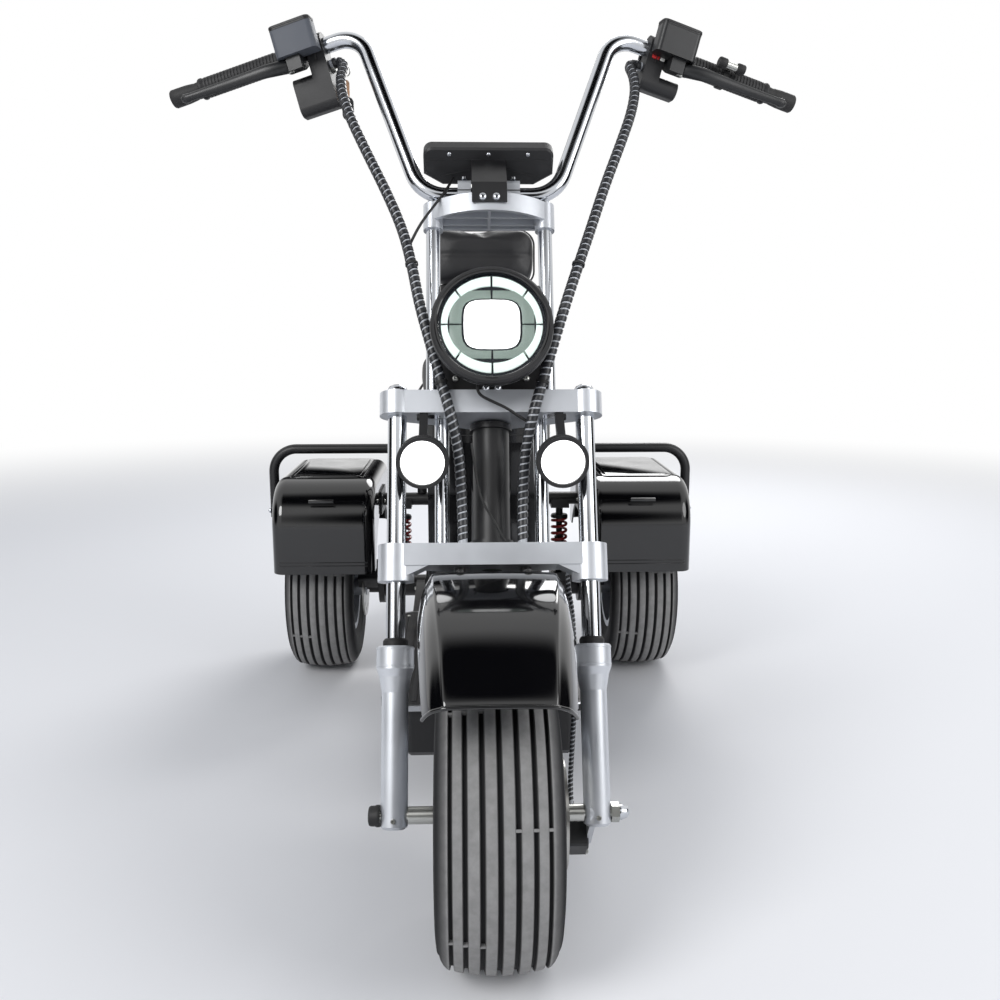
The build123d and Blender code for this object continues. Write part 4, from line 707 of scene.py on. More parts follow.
# Bar ends: ribbed rubber grips with a flange, and turned black plugs in the tips.
# Each end of the bar slopes down and back from its upper corner. The rubber is matt, with a fine
# pebbled skin.
grip_rubber = grained("ribbed_grip_rubber", "#19191b", 0.9, 0.12, 0.58)
bar_sides = {}
for side in (-1, 1):
    corner = at_fork(side * 208, 3, 1228)
    outwards = (at_fork(side * 528, 95, 1168) - corner).normalized()
    across_bar = (Vector((0, 0, 1)) - outwards * outwards.z).normalized()
    turned = Matrix((outwards, across_bar.cross(outwards), across_bar)).transposed().to_4x4()
    bar_sides[side] = Matrix.Translation(corner) @ turned


def on_bar(side, along, ahead, up):
    """A matrix on a bar end: x out along the bar, z up; ahead is towards the front."""
    return bar_sides[side] @ Matrix.Translation(Vector((along, -side * ahead, up)) / 1000)


def round_bar(side, along):
    """A matrix whose z runs out along the bar end."""
    return on_bar(side, along, 0, 0) @ Matrix.Rotation(pi / 2, 4, "Y")


bm = bmesh.new()
for side in (-1, 1):
    profile = [(12.8, 138), (20.5, 138), (21, 139), (21, 142), (19.5, 143.5), (16.2, 144.5)]
    for k in range(22):
        start = 149 + 6 * k
        profile += [(15.4, start), (16.6, start + 0.8), (16.6, start + 4.2), (15.4, start + 5)]
    profile += [(16.4, 283), (17.6, 285), (17.6, 288), (16.6, 290), (12.8, 290), (12.8, 138)]
    turn(bm, round_bar(side, 0), profile, 40)
smooth_piece("ribbed_grips", bm, grip_rubber, "steering", ["grips"])
bm = bmesh.new()
for side in (-1, 1):
    neck = [(12.8, 290.3), (13.4, 290.6), (13.4, 297), (13.0, 299), (13.8, 304), (14.8, 316), (15, 330)]
    tip = [(15, 330), (15, 342), (13.8, 344), (10, 344.8), (4, 345), (4, 342), (0, 342)]
    for profile in (neck, tip):
        turn(bm, round_bar(side, 0), profile, 40)
smooth_piece("turned_bar_plugs", bm, black_rubber, "steering", ["bar_end_caps"])

# Controls: moulded switch housings, die cast perches with fluid reservoirs, and cast levers.
# The left reservoir is black; the right one, over the throttle, is faded grey. Paint over castings
# has a low sheen, and the moulded switches are smoother and brighter.
black_alloy = grained("black_painted_alloy", "#17181a", 0.9, 0.05, 0.4)
grey_alloy = grained("grey_painted_alloy", "#85888d", 0.9, 0.05, 0.4, Metallic=0.3)
dress(matte_plastic, "switch_pods")
dress(black_alloy, "brake_perches")
red_plastic = grained("red_switch_plastic", "#b3191b", 2.0, 0.01, 0.3)
white_plastic = grained("white_switch_plastic", "#d9d9d4", 2.0, 0.01, 0.35)
faded_plastic = grained("faded_grey_plastic", "#4c5058", 0.6, 0.06, 0.6)
reservoir = (98, 38, 0)
bm = bmesh.new()
for side in (-1, 1):
    plate(bm, on_bar(side, *reservoir), rounded(71.5, 33.5, 9), 33.8, 37.6, 1.4, 3)
    plate(bm, on_bar(side, *reservoir), rounded(71.0, 33.0, 9), 31.0, 32.2, 0.3, 1)
smooth_piece("reservoir_lids", bm, matte_plastic, "steering")
bm = bmesh.new()
for side in (-1, 1):
    bolt(bm, on_bar(side, 73, 38, 37.4), 3.2, 1.8, "socket")
    sight_rim = [(4.5, 33.6), (7.6, 33.6), (7.6, 38.2), (6.8, 39.0), (4.5, 39.0), (4.5, 33.6)]
    turn(bm, on_bar(side, 122, 38, 0), sight_rim, 24)
    bolt(bm, on_bar(side, 106, 38, 37.4), 3.2, 1.8, "socket")
    for up in (-6.3, 5.4):
        bolt(bm, on_bar(side, 108, -18.4, up) @ Matrix.Rotation(pi / 2 * side, 4, "X"), 3.4, 3.4, "socket")
smooth_piece("perch_screws", bm, zinc, "steering")
bm = bmesh.new()
plate(bm, on_bar(-1, *reservoir), rounded(70.8, 32.8, 8.4), -12.4, 31.0, 1.0)
smooth_piece("grey_reservoir_skin", bm, faded_plastic, "steering")
bm = bmesh.new()
for side in (-1, 1):
    block(bm, on_bar(side, 77, 0, 0), (1.0, 45.5, 45.5), 0.4, 1)
smooth_piece("pod_seams", bm, black_rubber, "steering")

switches = [
    # side, along, behind the bar, up, width, height, proud, finish
    (1, 78, 19, -24, 12, 8, 5, red_plastic),
    (1, 92, 19, -24, 9, 8, 4, white_plastic),
    (1, 78, 19, -42, 15, 9, 5, matte_plastic),
    (1, 104, 19, -44, 12, 12, 6, grey_alloy),
    (-1, 80, 19, -30, 13, 9, 5, red_plastic),
    (-1, 80, 19, -56, 15, 10, 5, matte_plastic),
    (-1, 106, 19, -74, 12, 12, 5, grey_alloy),
]
for k, (side, along, behind, up, width, height, proud, finish) in enumerate(switches):
    bm = bmesh.new()
    block(bm, on_bar(side, along, -behind - proud / 2 + 1, up), (width, proud + 2, height), 1.6, 3)
    smooth_piece(f"bar_switch_{k + 1}", bm, finish, "steering")
bm = bmesh.new()
block(bm, on_bar(1, 73, -21, -8) @ Matrix.Rotation(radians(12), 4, "Z"), (30, 6, 15), 2.4, 3)
block(bm, on_bar(-1, 73, -21, -8), (20, 5, 15), 2.4, 3)
smooth_piece("pod_rider_panels", bm, gloss_plastic, "steering")
for colour, along, width, finish, slot in (
    ("red", 76, 13, red_plastic, "red_lens"),
    ("white", 88, 8, white_plastic, "matte_black_plastic"),
):
    bm = bmesh.new()
    block(bm, on_bar(1, along, 19.6, -12), (width, 4, 9), 1.6, 3)
    smooth_piece(f"{colour}_front_switch", bm, finish, "steering")


def loft(bm, rings, closed=True, cap=True):
    """Extrudes a first ring of points in metres through the other rings."""
    row = [bm.verts.new(p) for p in rings[0]]
    pairs = zip(row, row[1:] + row[:1]) if closed else zip(row, row[1:])
    edges = [bm.edges.new(pair) for pair in pairs]
    first = list(row)
    for ring in rings[1:]:
        made = bmesh.ops.extrude_edge_only(bm, edges=edges)["geom"]
        fresh = {v for v in made if isinstance(v, bmesh.types.BMVert)}
        row = [next(e.other_vert(old) for e in old.link_edges if e.other_vert(old) in fresh) for old in row]
        for corner, point in zip(row, ring):
            corner.co = point
        edges = [e for e in made if isinstance(e, bmesh.types.BMEdge) and fresh.issuperset(e.verts)]
    if cap and closed:
        bm.faces.new(first)
        bm.faces.new(row)


def oval(frame_at, half_a, half_b, steps=14):
    """A ring of points about a matrix's z, in metres, from half widths in millimetres."""
    turns = [2 * pi * k / steps for k in range(steps)]
    return [frame_at @ (Vector((half_a * cos(a), half_b * sin(a), 0)) / 1000) for a in turns]


lever_up = -23
lever_stations = [
    # along the bar, ahead, half width, half thickness
    (112, 30, 9.5, 9.0),
    (122, 34, 10.5, 11.0),
    (136, 41, 9.0, 11.6),
    (156, 47.5, 6.6, 11.0),
    (180, 49.5, 5.6, 9.6),
    (215, 50, 5.3, 8.6),
    (250, 51.5, 5.4, 7.6),
    (280, 53, 5.6, 6.8),
    (291, 53, 6.2, 6.6),
    (296, 52.6, 7.6, 7.4),
    (303, 52, 8.0, 7.6),
    (307.5, 52, 5.2, 4.0),
    (308.6, 52, 1.5, 1.4),
]
bm = bmesh.new()
for side in (-1, 1):
    rings = []
    for along, ahead, half_w, half_t in lever_stations:
        station = on_bar(side, along, ahead, lever_up) @ Matrix.Rotation(pi / 2, 4, "Y")
        rings.append(oval(station, half_t, half_w))
    loft(bm, rings)
smooth_piece("cast_brake_levers", bm, black_alloy, "steering", ["brake_levers"], sharp_deg=60)
bm = bmesh.new()
for side in (-1, 1):
    pin = [(0, -12.6), (5.5, -12.6), (6, -12), (6, 12), (5.5, 12.6), (2.4, 12.6), (2.4, 10), (0, 10)]
    turn(bm, on_bar(side, 118, 36, lever_up), pin, 24)
smooth_piece("lever_pivots", bm, zinc, "steering")
bm = bmesh.new()
for along in (188, 222):
    knob = on_bar(1, along, 30, 12) @ Matrix.Rotation(pi / 2, 4, "Y")
    turn(bm, knob, [(0, -7), (8, -7), (9, -5.5), (9, 5.5), (8, 7), (0, 7)], 24)
turn(bm, round_bar(1, 205), [(16.6, -5), (19, -5), (19, 5), (16.6, 5), (16.6, -5)], 32)
smooth_piece("lever_stop_knobs", bm, black_rubber, "steering")
bm = bmesh.new()
barrel = on_bar(1, 205, 30, 12) @ Matrix.Rotation(pi / 2, 4, "Y")
turn(bm, barrel, [(0, -10.5), (6, -10.5), (6, 10.5), (0, 10.5)], 24)
block(bm, on_bar(1, 205, 22, 9), (6, 14, 6), 1.0, 2)
smooth_piece("lever_stop_barrel", bm, zinc, "steering")

# Ignition key: a zinc plated lock barrel on the inner side of the right housing, with its key, ring,
# a tag of tan leather that is creased and dull, and a small moulded remote.
key_leather = grained("tan_key_leather", "#b08a6c", 1.4, 0.15, 0.55)
key_at = on_bar(-1, 60.6, -6, -34)
bm = bmesh.new()
turn(bm, key_at @ Matrix.Rotation(-pi / 2, 4, "Y"), [(9, -2), (9, 4), (7.6, 5.4), (0, 5.4)], 24)
block(bm, key_at @ Matrix.Translation((-0.012, 0, 0)), (16, 2.2, 8), 0.8, 2)
ring_at = key_at @ Matrix.Translation((-0.018, 0, -0.012)) @ Matrix.Rotation(pi / 2, 4, "X")
turn(bm, ring_at, [(8, -0.7), (9.4, -0.7), (9.4, 0.7), (8, 0.7), (8, -0.7)], 24)
smooth_piece("ignition_key", bm, zinc, "steering")
bm = bmesh.new()
tag_at = stand(key_at.translation + Vector((0.019, 0, -0.034)), (0, -1, 0))
plate(bm, tag_at, rounded(15, 30, 6), -1.5, 1.5, 0.8)
smooth_piece("key_tag", bm, key_leather, "steering")
bm = bmesh.new()
remote_at = stand(key_at.translation + Vector((0.023, 0.003, -0.064)), (0, -1, 0))
plate(bm, remote_at, rounded(19, 36, 8), -3.5, 3.5, 1.6)
smooth_piece("key_remote", bm, matte_plastic, "steering")

# Cable looms: a core of wires in each, wrapped in a black spiral strip, from the controls down
# through the clamps. The brake hose runs behind the left leg in the same strip, to the caliper.
# Polyethylene has a waxy sheen. The core's pale grey is a painted highlight that stands in for glints off the wrap,
# and it shows through the gaps as flecks.
sleeve = grained("black_cable_sleeve", "#121213", 3.0, 0.08, 0.5)
# The core stands for the wires inside. Its pale grey is a painted highlight for the wrap's glints, not the wires' own
# colour.
glint_painted_core = grained("core_with_painted_glints", "#b4b7bc", 3.0, 0.05, 0.35)
spiral_wrap = grained("spiral_wrap_polyethylene", "#26272a", 5.0, 0.04, 0.36)
loom_routes = [
    # name, replaced node, core radius, strip radius, strip width, pitch, route in metres
    (
        "right_loom", "cable_bundle_right", 6.9, 8.3, 8.2, 10.4,
        [(-0.2585, -0.1608, 1.2951), (-0.2323, -0.1659, 1.3025), (-0.24, -0.2046, 1.2592), (-0.224, -0.2434, 1.2059),
         (-0.192, -0.2811, 1.1392), (-0.16, -0.3129, 1.0765), (-0.133, -0.344, 1.0157), (-0.118, -0.3772, 0.9601),
         (-0.107, -0.4064, 0.904), (-0.09, -0.4263, 0.844), (-0.074, -0.4415, 0.7876), (-0.06, -0.4558, 0.7416),
         (-0.049, -0.4569, 0.6882), (-0.046, -0.4652, 0.6355), (-0.044, -0.4762, 0.5924), (-0.044, -0.4914, 0.5547)],
    ),
    (
        "left_loom", "cable_bundle_left", 6.9, 8.3, 8.2, 10.4,
        [(0.2585, -0.1608, 1.2951), (0.2323, -0.1659, 1.3025), (0.243, -0.2023, 1.2648), (0.234, -0.2378, 1.2144),
         (0.208, -0.2767, 1.1503), (0.18, -0.3099, 1.0839), (0.155, -0.344, 1.0157), (0.133, -0.3772, 0.9601),
         (0.112, -0.4064, 0.904), (0.092, -0.4263, 0.844), (0.075, -0.4415, 0.7876), (0.06, -0.4558, 0.7416),
         (0.049, -0.4569, 0.6882), (0.046, -0.4652, 0.6355), (0.044, -0.4762, 0.5924), (0.044, -0.4914, 0.5547)],
    ),
    (
        "brake_hose", "front_brake_hose", 3.2, 3.9, 5.0, 6.6,
        [(0.112, -0.4758, 0.5132), (0.112, -0.4846, 0.4901), (0.119, -0.4943, 0.4488), (0.12, -0.5121, 0.3966),
         (0.119, -0.5347, 0.3248), (0.116, -0.5404, 0.2625), (0.1126, -0.5436, 0.198), (0.1126, -0.5695, 0.176)],
    ),
]


def smooth_route(name, route):
    """A NURBS spline with a route's points as its control points."""
    curve = bpy.data.curves.new(name, "CURVE")
    curve.dimensions = "3D"
    curve.resolution_u = 12
    spline = curve.splines.new("NURBS")
    spline.points.add(len(route) - 1)
    for point, place in zip(spline.points, route):
        point.co = (*place, 1.0)
    spline.order_u = 3
    spline.use_endpoint_u = True
    return curve


def route_points(name, route):
    """Points along the route's spline, as Blender draws it with no bevel."""
    holder = link_up(bpy.data.objects.new(f"{name}_line", smooth_route(f"{name}_line", route)))
    line = bpy.data.meshes.new_from_object(holder)
    points = [v.co.copy() for v in line.vertices]
    bpy.data.objects.remove(holder)
    return points


def thicken(curve, radius, material, body, nodes=(), roundness=4):
    """Makes a curve a round cable or bead, its radius in millimetres, that rides on a body."""
    curve.bevel_depth = radius / 1000
    curve.bevel_resolution = roundness
    curve.use_fill_caps = True
    curve.materials.append(material)
    cable = link_up(bpy.data.objects.new(curve.name, curve))
    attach(cable, body)
    if nodes:
        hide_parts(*nodes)


def wound_strip(name, points, radius, width, pitch, material):
    """A flat strip wound round a line of points, all its sizes in millimetres."""
    steps_per_turn = 18
    step = pitch / 1000 / steps_per_turn
    spans = [(start, end, (end - start).length) for start, end in zip(points, points[1:])]
    whole_length = sum(span[2] for span in spans)
    normal = (points[1] - points[0]).orthogonal().normalized()
    bare_start, bare_end = 0.006, 0.008
    travelled = inside = bare_start
    index = 0
    rings = []
    while travelled < whole_length - bare_end:
        while inside > spans[index][2]:
            inside -= spans[index][2]
            index += 1
        start, end, length = spans[index]
        along = (end - start).normalized()
        normal = (normal - along * normal.dot(along)).normalized()
        binormal = along.cross(normal)
        a = 2 * pi * len(rings) / steps_per_turn
        out = normal * cos(a) + binormal * sin(a)
        centre = start.lerp(end, inside / length)
        half = along * width / 2000
        low, high = centre + out * (radius - 1.5) / 1000, centre + out * radius / 1000
        rings.append([low - half, high - half * 0.8, high + half * 0.8, low + half])
        travelled += step
        inside += step
    bm = bmesh.new()
    loft(bm, rings)
    smooth_piece(name, bm, material, "steering", sharp_deg=45)


for name, node, core_r, strip_r, strip_w, pitch, route in loom_routes:
    thicken(smooth_route(f"{name}_core", route), core_r, glint_painted_core, "steering", [node])
    wound_strip(f"{name}_spiral", route_points(name, route), strip_r, strip_w, pitch, spiral_wrap)

# Thin wires in plain black sleeves: the display's lead to the right loom, the headlight's lead under
# the lamp and a wire down the stem. Rubber ties hold the looms at two heights above the middle clamp.
thin_wires = [
    # name, radius, route in metres
    (
        "display_lead", 2.2,
        [(-0.056, -0.258, 1.103), (-0.060, -0.272, 1.094), (-0.070, -0.300, 1.074), (-0.090, -0.332, 1.046),
         (-0.112, -0.352, 1.014), (-0.127, -0.352, 0.982)],
    ),
    (
        "headlight_lead", 2.2,
        [(-0.018, -0.432, 0.800), (-0.022, -0.448, 0.788), (-0.020, -0.452, 0.772), (0.000, -0.450, 0.762),
         (0.022, -0.451, 0.752), (0.042, -0.449, 0.738), (0.056, -0.451, 0.730)],
    ),
    (
        "stem_wire", 1.8,
        [(-0.03, -0.452, 0.700), (-0.026, -0.462, 0.664), (-0.018, -0.470, 0.620), (0.004, -0.484, 0.585),
         (0.018, -0.492, 0.560)],
    ),
]
for name, radius, route in thin_wires:
    thicken(smooth_route(name, route), radius, sleeve, "steering")
bm = bmesh.new()
for place, along in (
    ((-0.0745, -0.4410, 0.789), (-0.3, 0.3, 1)),
    ((0.0755, -0.4410, 0.789), (0.3, 0.3, 1)),
    ((-0.1185, -0.3760, 0.962), (-0.15, 0.5, 1)),
    ((0.1335, -0.3760, 0.962), (0.25, 0.5, 1)),
):
    turn(bm, stand(place, along), [(8.6, -2), (9.8, -2), (9.8, 2), (8.6, 2), (8.6, -2)], 24)
smooth_piece("loom_ties", bm, black_rubber, "steering")

# Brake calipers: cast bodies painted black, each with two slide bolts, a banjo bolt and pad pins.
# They stand over the discs' edges, in the same low sheen paint as the perches.
calipers = [
    # node, body, disc centre, direction from the axle (rearwards, up), out from the wheel
    ("front_caliper", "steering", (0.093, front_axle_y, axle_z), (0.647, -0.762), 1),
    ("rear_left_caliper", "chassis", (0.299, rear_axle_y, axle_z), (-0.707, 0.707), -1),
    ("rear_right_caliper", "chassis", (-0.299, rear_axle_y, axle_z), (-0.707, 0.707), 1),
]
dress(black_alloy, "front_caliper", "rear_left_caliper", "rear_right_caliper")
for node, body, centre, toward, out in calipers:
    radial = Vector((0, *toward))
    outward = Vector((out, 0, 0))
    caliper = Matrix.Translation(centre) @ Matrix((radial, outward.cross(radial), outward)).transposed().to_4x4()
    bm = bmesh.new()
    for y in (-17, 17):
        piston = caliper @ Matrix.Translation((0.062, y / 1000, 0.0366))
        turn(bm, piston, [(12.5, -2), (12.5, 1.5), (11, 3), (0, 3.4)], 32)
    plate(bm, caliper, [(42, -29), (82, -29), (82, 29), (42, 29)], 10.0, 13.0, 0.8)
    smooth_piece(f"{node}_pistons", bm, black_alloy, body)
    bm = bmesh.new()
    for y in (-26, 26):
        bolt(bm, caliper @ Matrix.Translation((0.079, y / 1000, 0.0366)), 4.0, 4.5, "hex")
    bolt(bm, caliper @ Matrix.Translation((0.050, 0.0, 0.0366)), 5.5, 6.0, "hex")
    for y in (-12, 12):
        pad_pin = caliper @ Matrix.Translation((0.0842, y / 1000, 0.0)) @ Matrix.Rotation(pi / 2, 4, "Y")
        bolt(bm, pad_pin, 3.0, 3.0, "socket")
    smooth_piece(f"{node}_bolts", bm, zinc, body)

# Front fender: moulded ABS in gloss black, a flat crown between two creases, slanted skirts and
# a rolled edge. Two bolts through the crown hold it to the lugs under the lower clamp.
fender_mid = Vector((0, -0.6055, 0.25))
fender_r, fender_arch, fender_t = 285.0, 2.0, 4.0
fender_stations = [
    # degrees behind the top, half crown, half width at the skirt's edge, skirt depth
    (-49, 68, 92, 42), (-46, 69, 94, 44.5), (-40, 70.5, 96.5, 50), (-34, 72, 98, 54), (-25, 76, 101, 57.5),
    (-16, 80, 103, 60), (-5, 84.2, 105.2, 61.2), (6, 88, 107, 62), (20, 89.3, 107.3, 63.2), (34, 90, 107, 64),
    (48, 88.6, 106.4, 61.5), (58, 86.6, 105.3, 59), (62, 86, 105, 58),
]
rings = []
for degrees, crown, skirt, depth in fender_stations:
    a = radians(degrees)
    up, back = cos(a), sin(a)
    shoulder = crown + 0.7 * (skirt - crown)
    outside = [
        (skirt + 1.5, fender_r - depth), (skirt, fender_r - depth + 4), (shoulder, fender_r - 0.35 * depth),
        (crown + 2.2, fender_r - 5.5), (crown, fender_r - 1.2), (crown - 3.0, fender_r + 0.2),
        (crown * 0.66, fender_r + 1.2), (crown * 0.33, fender_r + fender_arch * 0.9), (0, fender_r + fender_arch),
    ]
    outside += [(-x, r) for x, r in outside[-2::-1]]
    rings.append([fender_mid + Vector((x, r * back, r * up)) / 1000 for x, r in outside])
bm = bmesh.new()
loft(bm, rings, closed=False, cap=False)
bmesh.ops.recalc_face_normals(bm, faces=bm.faces)
if sum((f.calc_center_median() - fender_mid).dot(f.normal) for f in bm.faces) < 0:
    bmesh.ops.reverse_faces(bm, faces=bm.faces)
fender = smooth_piece(
    "front_fender_shell", bm, gloss_plastic, "steering", ["front_fender"], sharp_deg=60
)
wall = fender.modifiers.new("wall", "SOLIDIFY")
wall.thickness = fender_t / 1000
wall.offset = -1.0
finer = fender.modifiers.new("finer", "SUBSURF")
finer.levels = finer.render_levels = 2
front_end = radians(fender_stations[0][0])
half_edge = [(0, 287), (35, 286.4), (66, 284.6), (71, 281), (85, 270), (93, 243.5)]
edge_line = [
    fender_mid + Vector((x, r * sin(front_end), r * cos(front_end))) / 1000
    for x, r in [(-x, r) for x, r in half_edge[:0:-1]] + half_edge
]
rolled_edge = smooth_route("front_fender_rolled_edge", edge_line)
thicken(rolled_edge, 2.8, gloss_plastic, "steering", roundness=3)
bm = bmesh.new()
for x in (-48, 48):
    turn(bm, along_fork(x, 12, 0), [(9, 347), (9, 331), (12, 330), (12, 327), (0, 327)], 24)
    bolt(bm, stand(fender_mid + Vector((x / 1000, 0.0445, 0.2816)), (0, 0.155, 0.988)), 5.5, 4.0, "dome")
smooth_piece("fender_lugs", bm, black_steel, "steering")

# Battery tray and deck: a folded, powder coated steel tray, and a ribbed rubber mat on the deck
# with an aluminium trim round its edge and six low screws. The mat is matt and slightly grained,
# the trim brushed to a soft gleam.
deck_rubber = grained("ribbed_deck_rubber", "#1d1d1f", 1.0, 0.12, 0.6)
trim_alloy = grained("brushed_trim_aluminium", "#a7a9ac", 1.2, 0.02, 0.32, Metallic=1.0)
tray_front, tray_rear = -292.0, 250.0
deck_mid = (tray_front + tray_rear) / 2
deck_top_z = 0.226
body_front, body_half_w = 48, 124
dress(black_steel, "battery_tray", "frame_backbone")
dress(matte_plastic, "footboard")
bm = bmesh.new()
for side in (-1, 1):
    for k in range(7):
        x = side * (52 + k * 20)
        end_gap = 14 if k < 6 else 34
        low = tray_front + end_gap
        high = body_front if abs(x) < body_half_w else tray_rear - end_gap
        rib_at = Matrix.Translation((x / 1000, (low + high) / 2000, deck_top_z))
        block(bm, rib_at, (9.0, high - low, 3.4), 1.0, 2)
smooth_piece("deck_ribs", bm, deck_rubber, "chassis")
bm = bmesh.new()
outer = rounded(380.6, 558.6, 40)
inner = rounded(368.0, 546.0, 34)
at_deck = Matrix.Translation((0, deck_mid / 1000, deck_top_z))
loops = []
for outline, z in ((outer, -9.0), (outer, 0.6), (inner, 0.6), (inner, -1.0)):
    loops.append([at_deck @ (Vector((x, y, z)) / 1000) for x, y in outline])
loft(bm, loops, cap=False)
smooth_piece("deck_trim", bm, trim_alloy, "chassis")
bm = bmesh.new()
for x in (-168, 168):
    for y in (tray_front + 26, deck_mid, tray_rear - 26):
        bolt(bm, Matrix.Translation((x / 1000, y / 1000, deck_top_z)), 4.5, 2.0, "dome")
smooth_piece("deck_screws", bm, zinc, "chassis")

# Body housing: moulded ABS in gloss black over the battery, with panel seams, a vent in each side,
# a key lock on the right and a hinged cap over the charging socket on the left.
dress(gloss_plastic, "body_housing")
dress(matte_plastic, "seat_pan")
body_side_x = 0.1165
bm = bmesh.new()
for side in (-1, 1):
    block(bm, Matrix.Translation((side * 0.1163, 0.21, 0.40)), (1.2, 1.8, 330), 0.4, 1)
    block(bm, Matrix.Translation((side * 0.1303, 0.210, 0.655)), (1.2, 300, 1.8), 0.4, 1)
block(bm, Matrix.Translation((0, 0.0297, 0.655)), (200, 1.2, 1.8), 0.4, 1)
smooth_piece("body_seams", bm, black_rubber, "chassis")
bm = bmesh.new()
for side in (-1, 1):
    for k in range(6):
        slat = Matrix.Translation((side * body_side_x, 0.285, 0.31 + k * 0.013)) @ Matrix.Rotation(radians(8), 4, "X")
        block(bm, slat, (3.0, 96, 5), 1.0, 2)
smooth_piece("body_side_vents", bm, matte_plastic, "chassis")
bm = bmesh.new()
lock = sideways((-body_side_x, 0.12, 0.56), -1)
turn(bm, lock, [(12, -1), (12, 2), (10.5, 3.2), (9, 3.2), (8.6, 2), (0, 2)], 32)
smooth_piece("battery_lock", bm, chrome, "chassis")
bm = bmesh.new()
block(bm, Matrix.Translation((-0.1192, 0.12, 0.56)), (1.0, 1.6, 9), 0.3, 1)
block(bm, Matrix.Translation((0.1185, 0.12, 0.50)), (5, 46, 36), 2.2, 3)
block(bm, Matrix.Translation((0.1205, 0.12, 0.482)), (4, 18, 5), 1.5, 2)
smooth_piece("charging_cap", bm, matte_plastic, "chassis")

# Saddle and backrest: moulded foam under black grained synthetic leather, sewn over a welt,
# with stitched channels across. Their sides pull in between the corners, and the leather has a
# pebbled skin of 2.4 mm with a dull sheen.
leather = grained("grained_seat_leather", "#141417", 1.6, 0.22, 0.46)
tree = leather.node_tree
place = put(tree, "ShaderNodeTexCoord").outputs["Object"]
pebble = put(tree, "ShaderNodeTexVoronoi", {"feature": "SMOOTH_F1", "Scale": 1000 / 2.4}, {"Vector": place})
emboss(tree, pebble.outputs["Distance"], 0.8, 0.00035)


def foam_pad(name, outline_at, outline, thickness, edge, cap_mm, replaced, channels):
    """A padded cushion: a rounded slab swelled by cloth pressure, each point by cap_mm at most.

    The channels across its upper side are sunk afterwards, each given as (middle, half width, depth).
    """
    bm = bmesh.new()
    plate(bm, outline_at, outline, 0.0, thickness, edge, 4)
    bmesh.ops.recalc_face_normals(bm, faces=bm.faces)
    pad = add_mesh(name, bm)
    remesh = pad.modifiers.new("even_mesh", "REMESH")
    remesh.mode = "VOXEL"
    remesh.voxel_size = 0.006
    bpy.context.view_layer.objects.active = pad
    bpy.ops.object.modifier_apply(modifier=remesh.name)
    start = [v.co.copy() for v in pad.data.vertices]
    cloth = pad.modifiers.new("foam_pressure", "CLOTH")
    cloth.settings.use_pressure = True
    cloth.settings.uniform_pressure_force = 4.0
    cloth.settings.effector_weights.gravity = 0.0
    cloth.settings.quality = 5
    for frame_number in range(1, 21):
        scene.frame_set(frame_number)
    bpy.ops.object.modifier_apply(modifier=cloth.name)
    scene.frame_set(1)
    inverse = outline_at.inverted()
    cap = cap_mm / 1000
    for v, was in zip(pad.data.vertices, start):
        moved = v.co - was
        if moved.length > cap:
            moved *= cap / moved.length
        v.co = was + moved
        local = inverse @ v.co
        if local.z < 0:
            local.z = 0
            v.co = outline_at @ local
    bm = bmesh.new()
    bm.from_mesh(pad.data)
    bmesh.ops.smooth_vert(bm, verts=bm.verts, factor=0.5, use_axis_x=True, use_axis_y=True, use_axis_z=True)
    for v in bm.verts:
        local = inverse @ v.co
        height = local.z * 1000
        if height > thickness * 0.5:
            depth = 0.0
            for middle, half, deep in channels:
                away = abs(local.y * 1000 - middle)
                if away < half:
                    depth += deep * (1 - away / half) ** 2
            local.z -= depth / 1000 * min(1.0, (height - thickness * 0.5) / (thickness * 0.3))
            v.co = outline_at @ local
    for face in bm.faces:
        face.smooth = True
    bm.to_mesh(pad.data)
    bm.free()
    pad.data.materials.append(leather)
    finer = pad.modifiers.new("finer", "SUBSURF")
    finer.levels = finer.render_levels = 1
    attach(pad, "chassis")
    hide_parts(replaced)


saddle_at = Matrix.Translation((0, 0.209, 0.7222))
saddle_channels = [(y, 9, 5) for y in (-95, -45, 5, 55, 105)]
foam_pad("saddle_pad", saddle_at, rounded(258, 372, 56, 7), 88, 22, 12, "saddle_cushion", saddle_channels)
lean = radians(8)
rest_forward = Vector((0, -cos(lean), sin(lean)))
rest_mid = Vector((0, 0.408, 1.02))
rest_at = stand(rest_mid - rest_forward * 0.028, rest_forward) @ Matrix.Rotation(pi, 4, "Z")
foam_pad("backrest_pad", rest_at, rounded(236, 120, 32, 6), 50, 16, 9, "backrest_cushion", [(0, 9, 3)])


def welt(name, frame_at, outline, radius):
    """A piped seam round a cushion, 12 mm up its side; the radius is in millimetres."""
    curve = bpy.data.curves.new(name, "CURVE")
    curve.dimensions = "3D"
    spline = curve.splines.new("POLY")
    spline.points.add(len(outline) - 1)
    for point, (x, y) in zip(spline.points, outline):
        point.co = (*(frame_at @ (Vector((x, y, 12)) / 1000)), 1.0)
    spline.use_cyclic_u = True
    thicken(curve, radius, leather, "chassis", roundness=3)


welt("saddle_welt", saddle_at, rounded(270, 384, 60, 9), 2.6)
welt("backrest_welt", rest_at, rounded(242, 126, 34, 9), 2.2)
bm = bmesh.new()
plate(bm, rest_at, rounded(232, 116, 30, 6), -1.5, 1.0, 0.6)
smooth_piece("backrest_board", bm, matte_plastic, "chassis")
dress(black_steel, "backrest_frame")

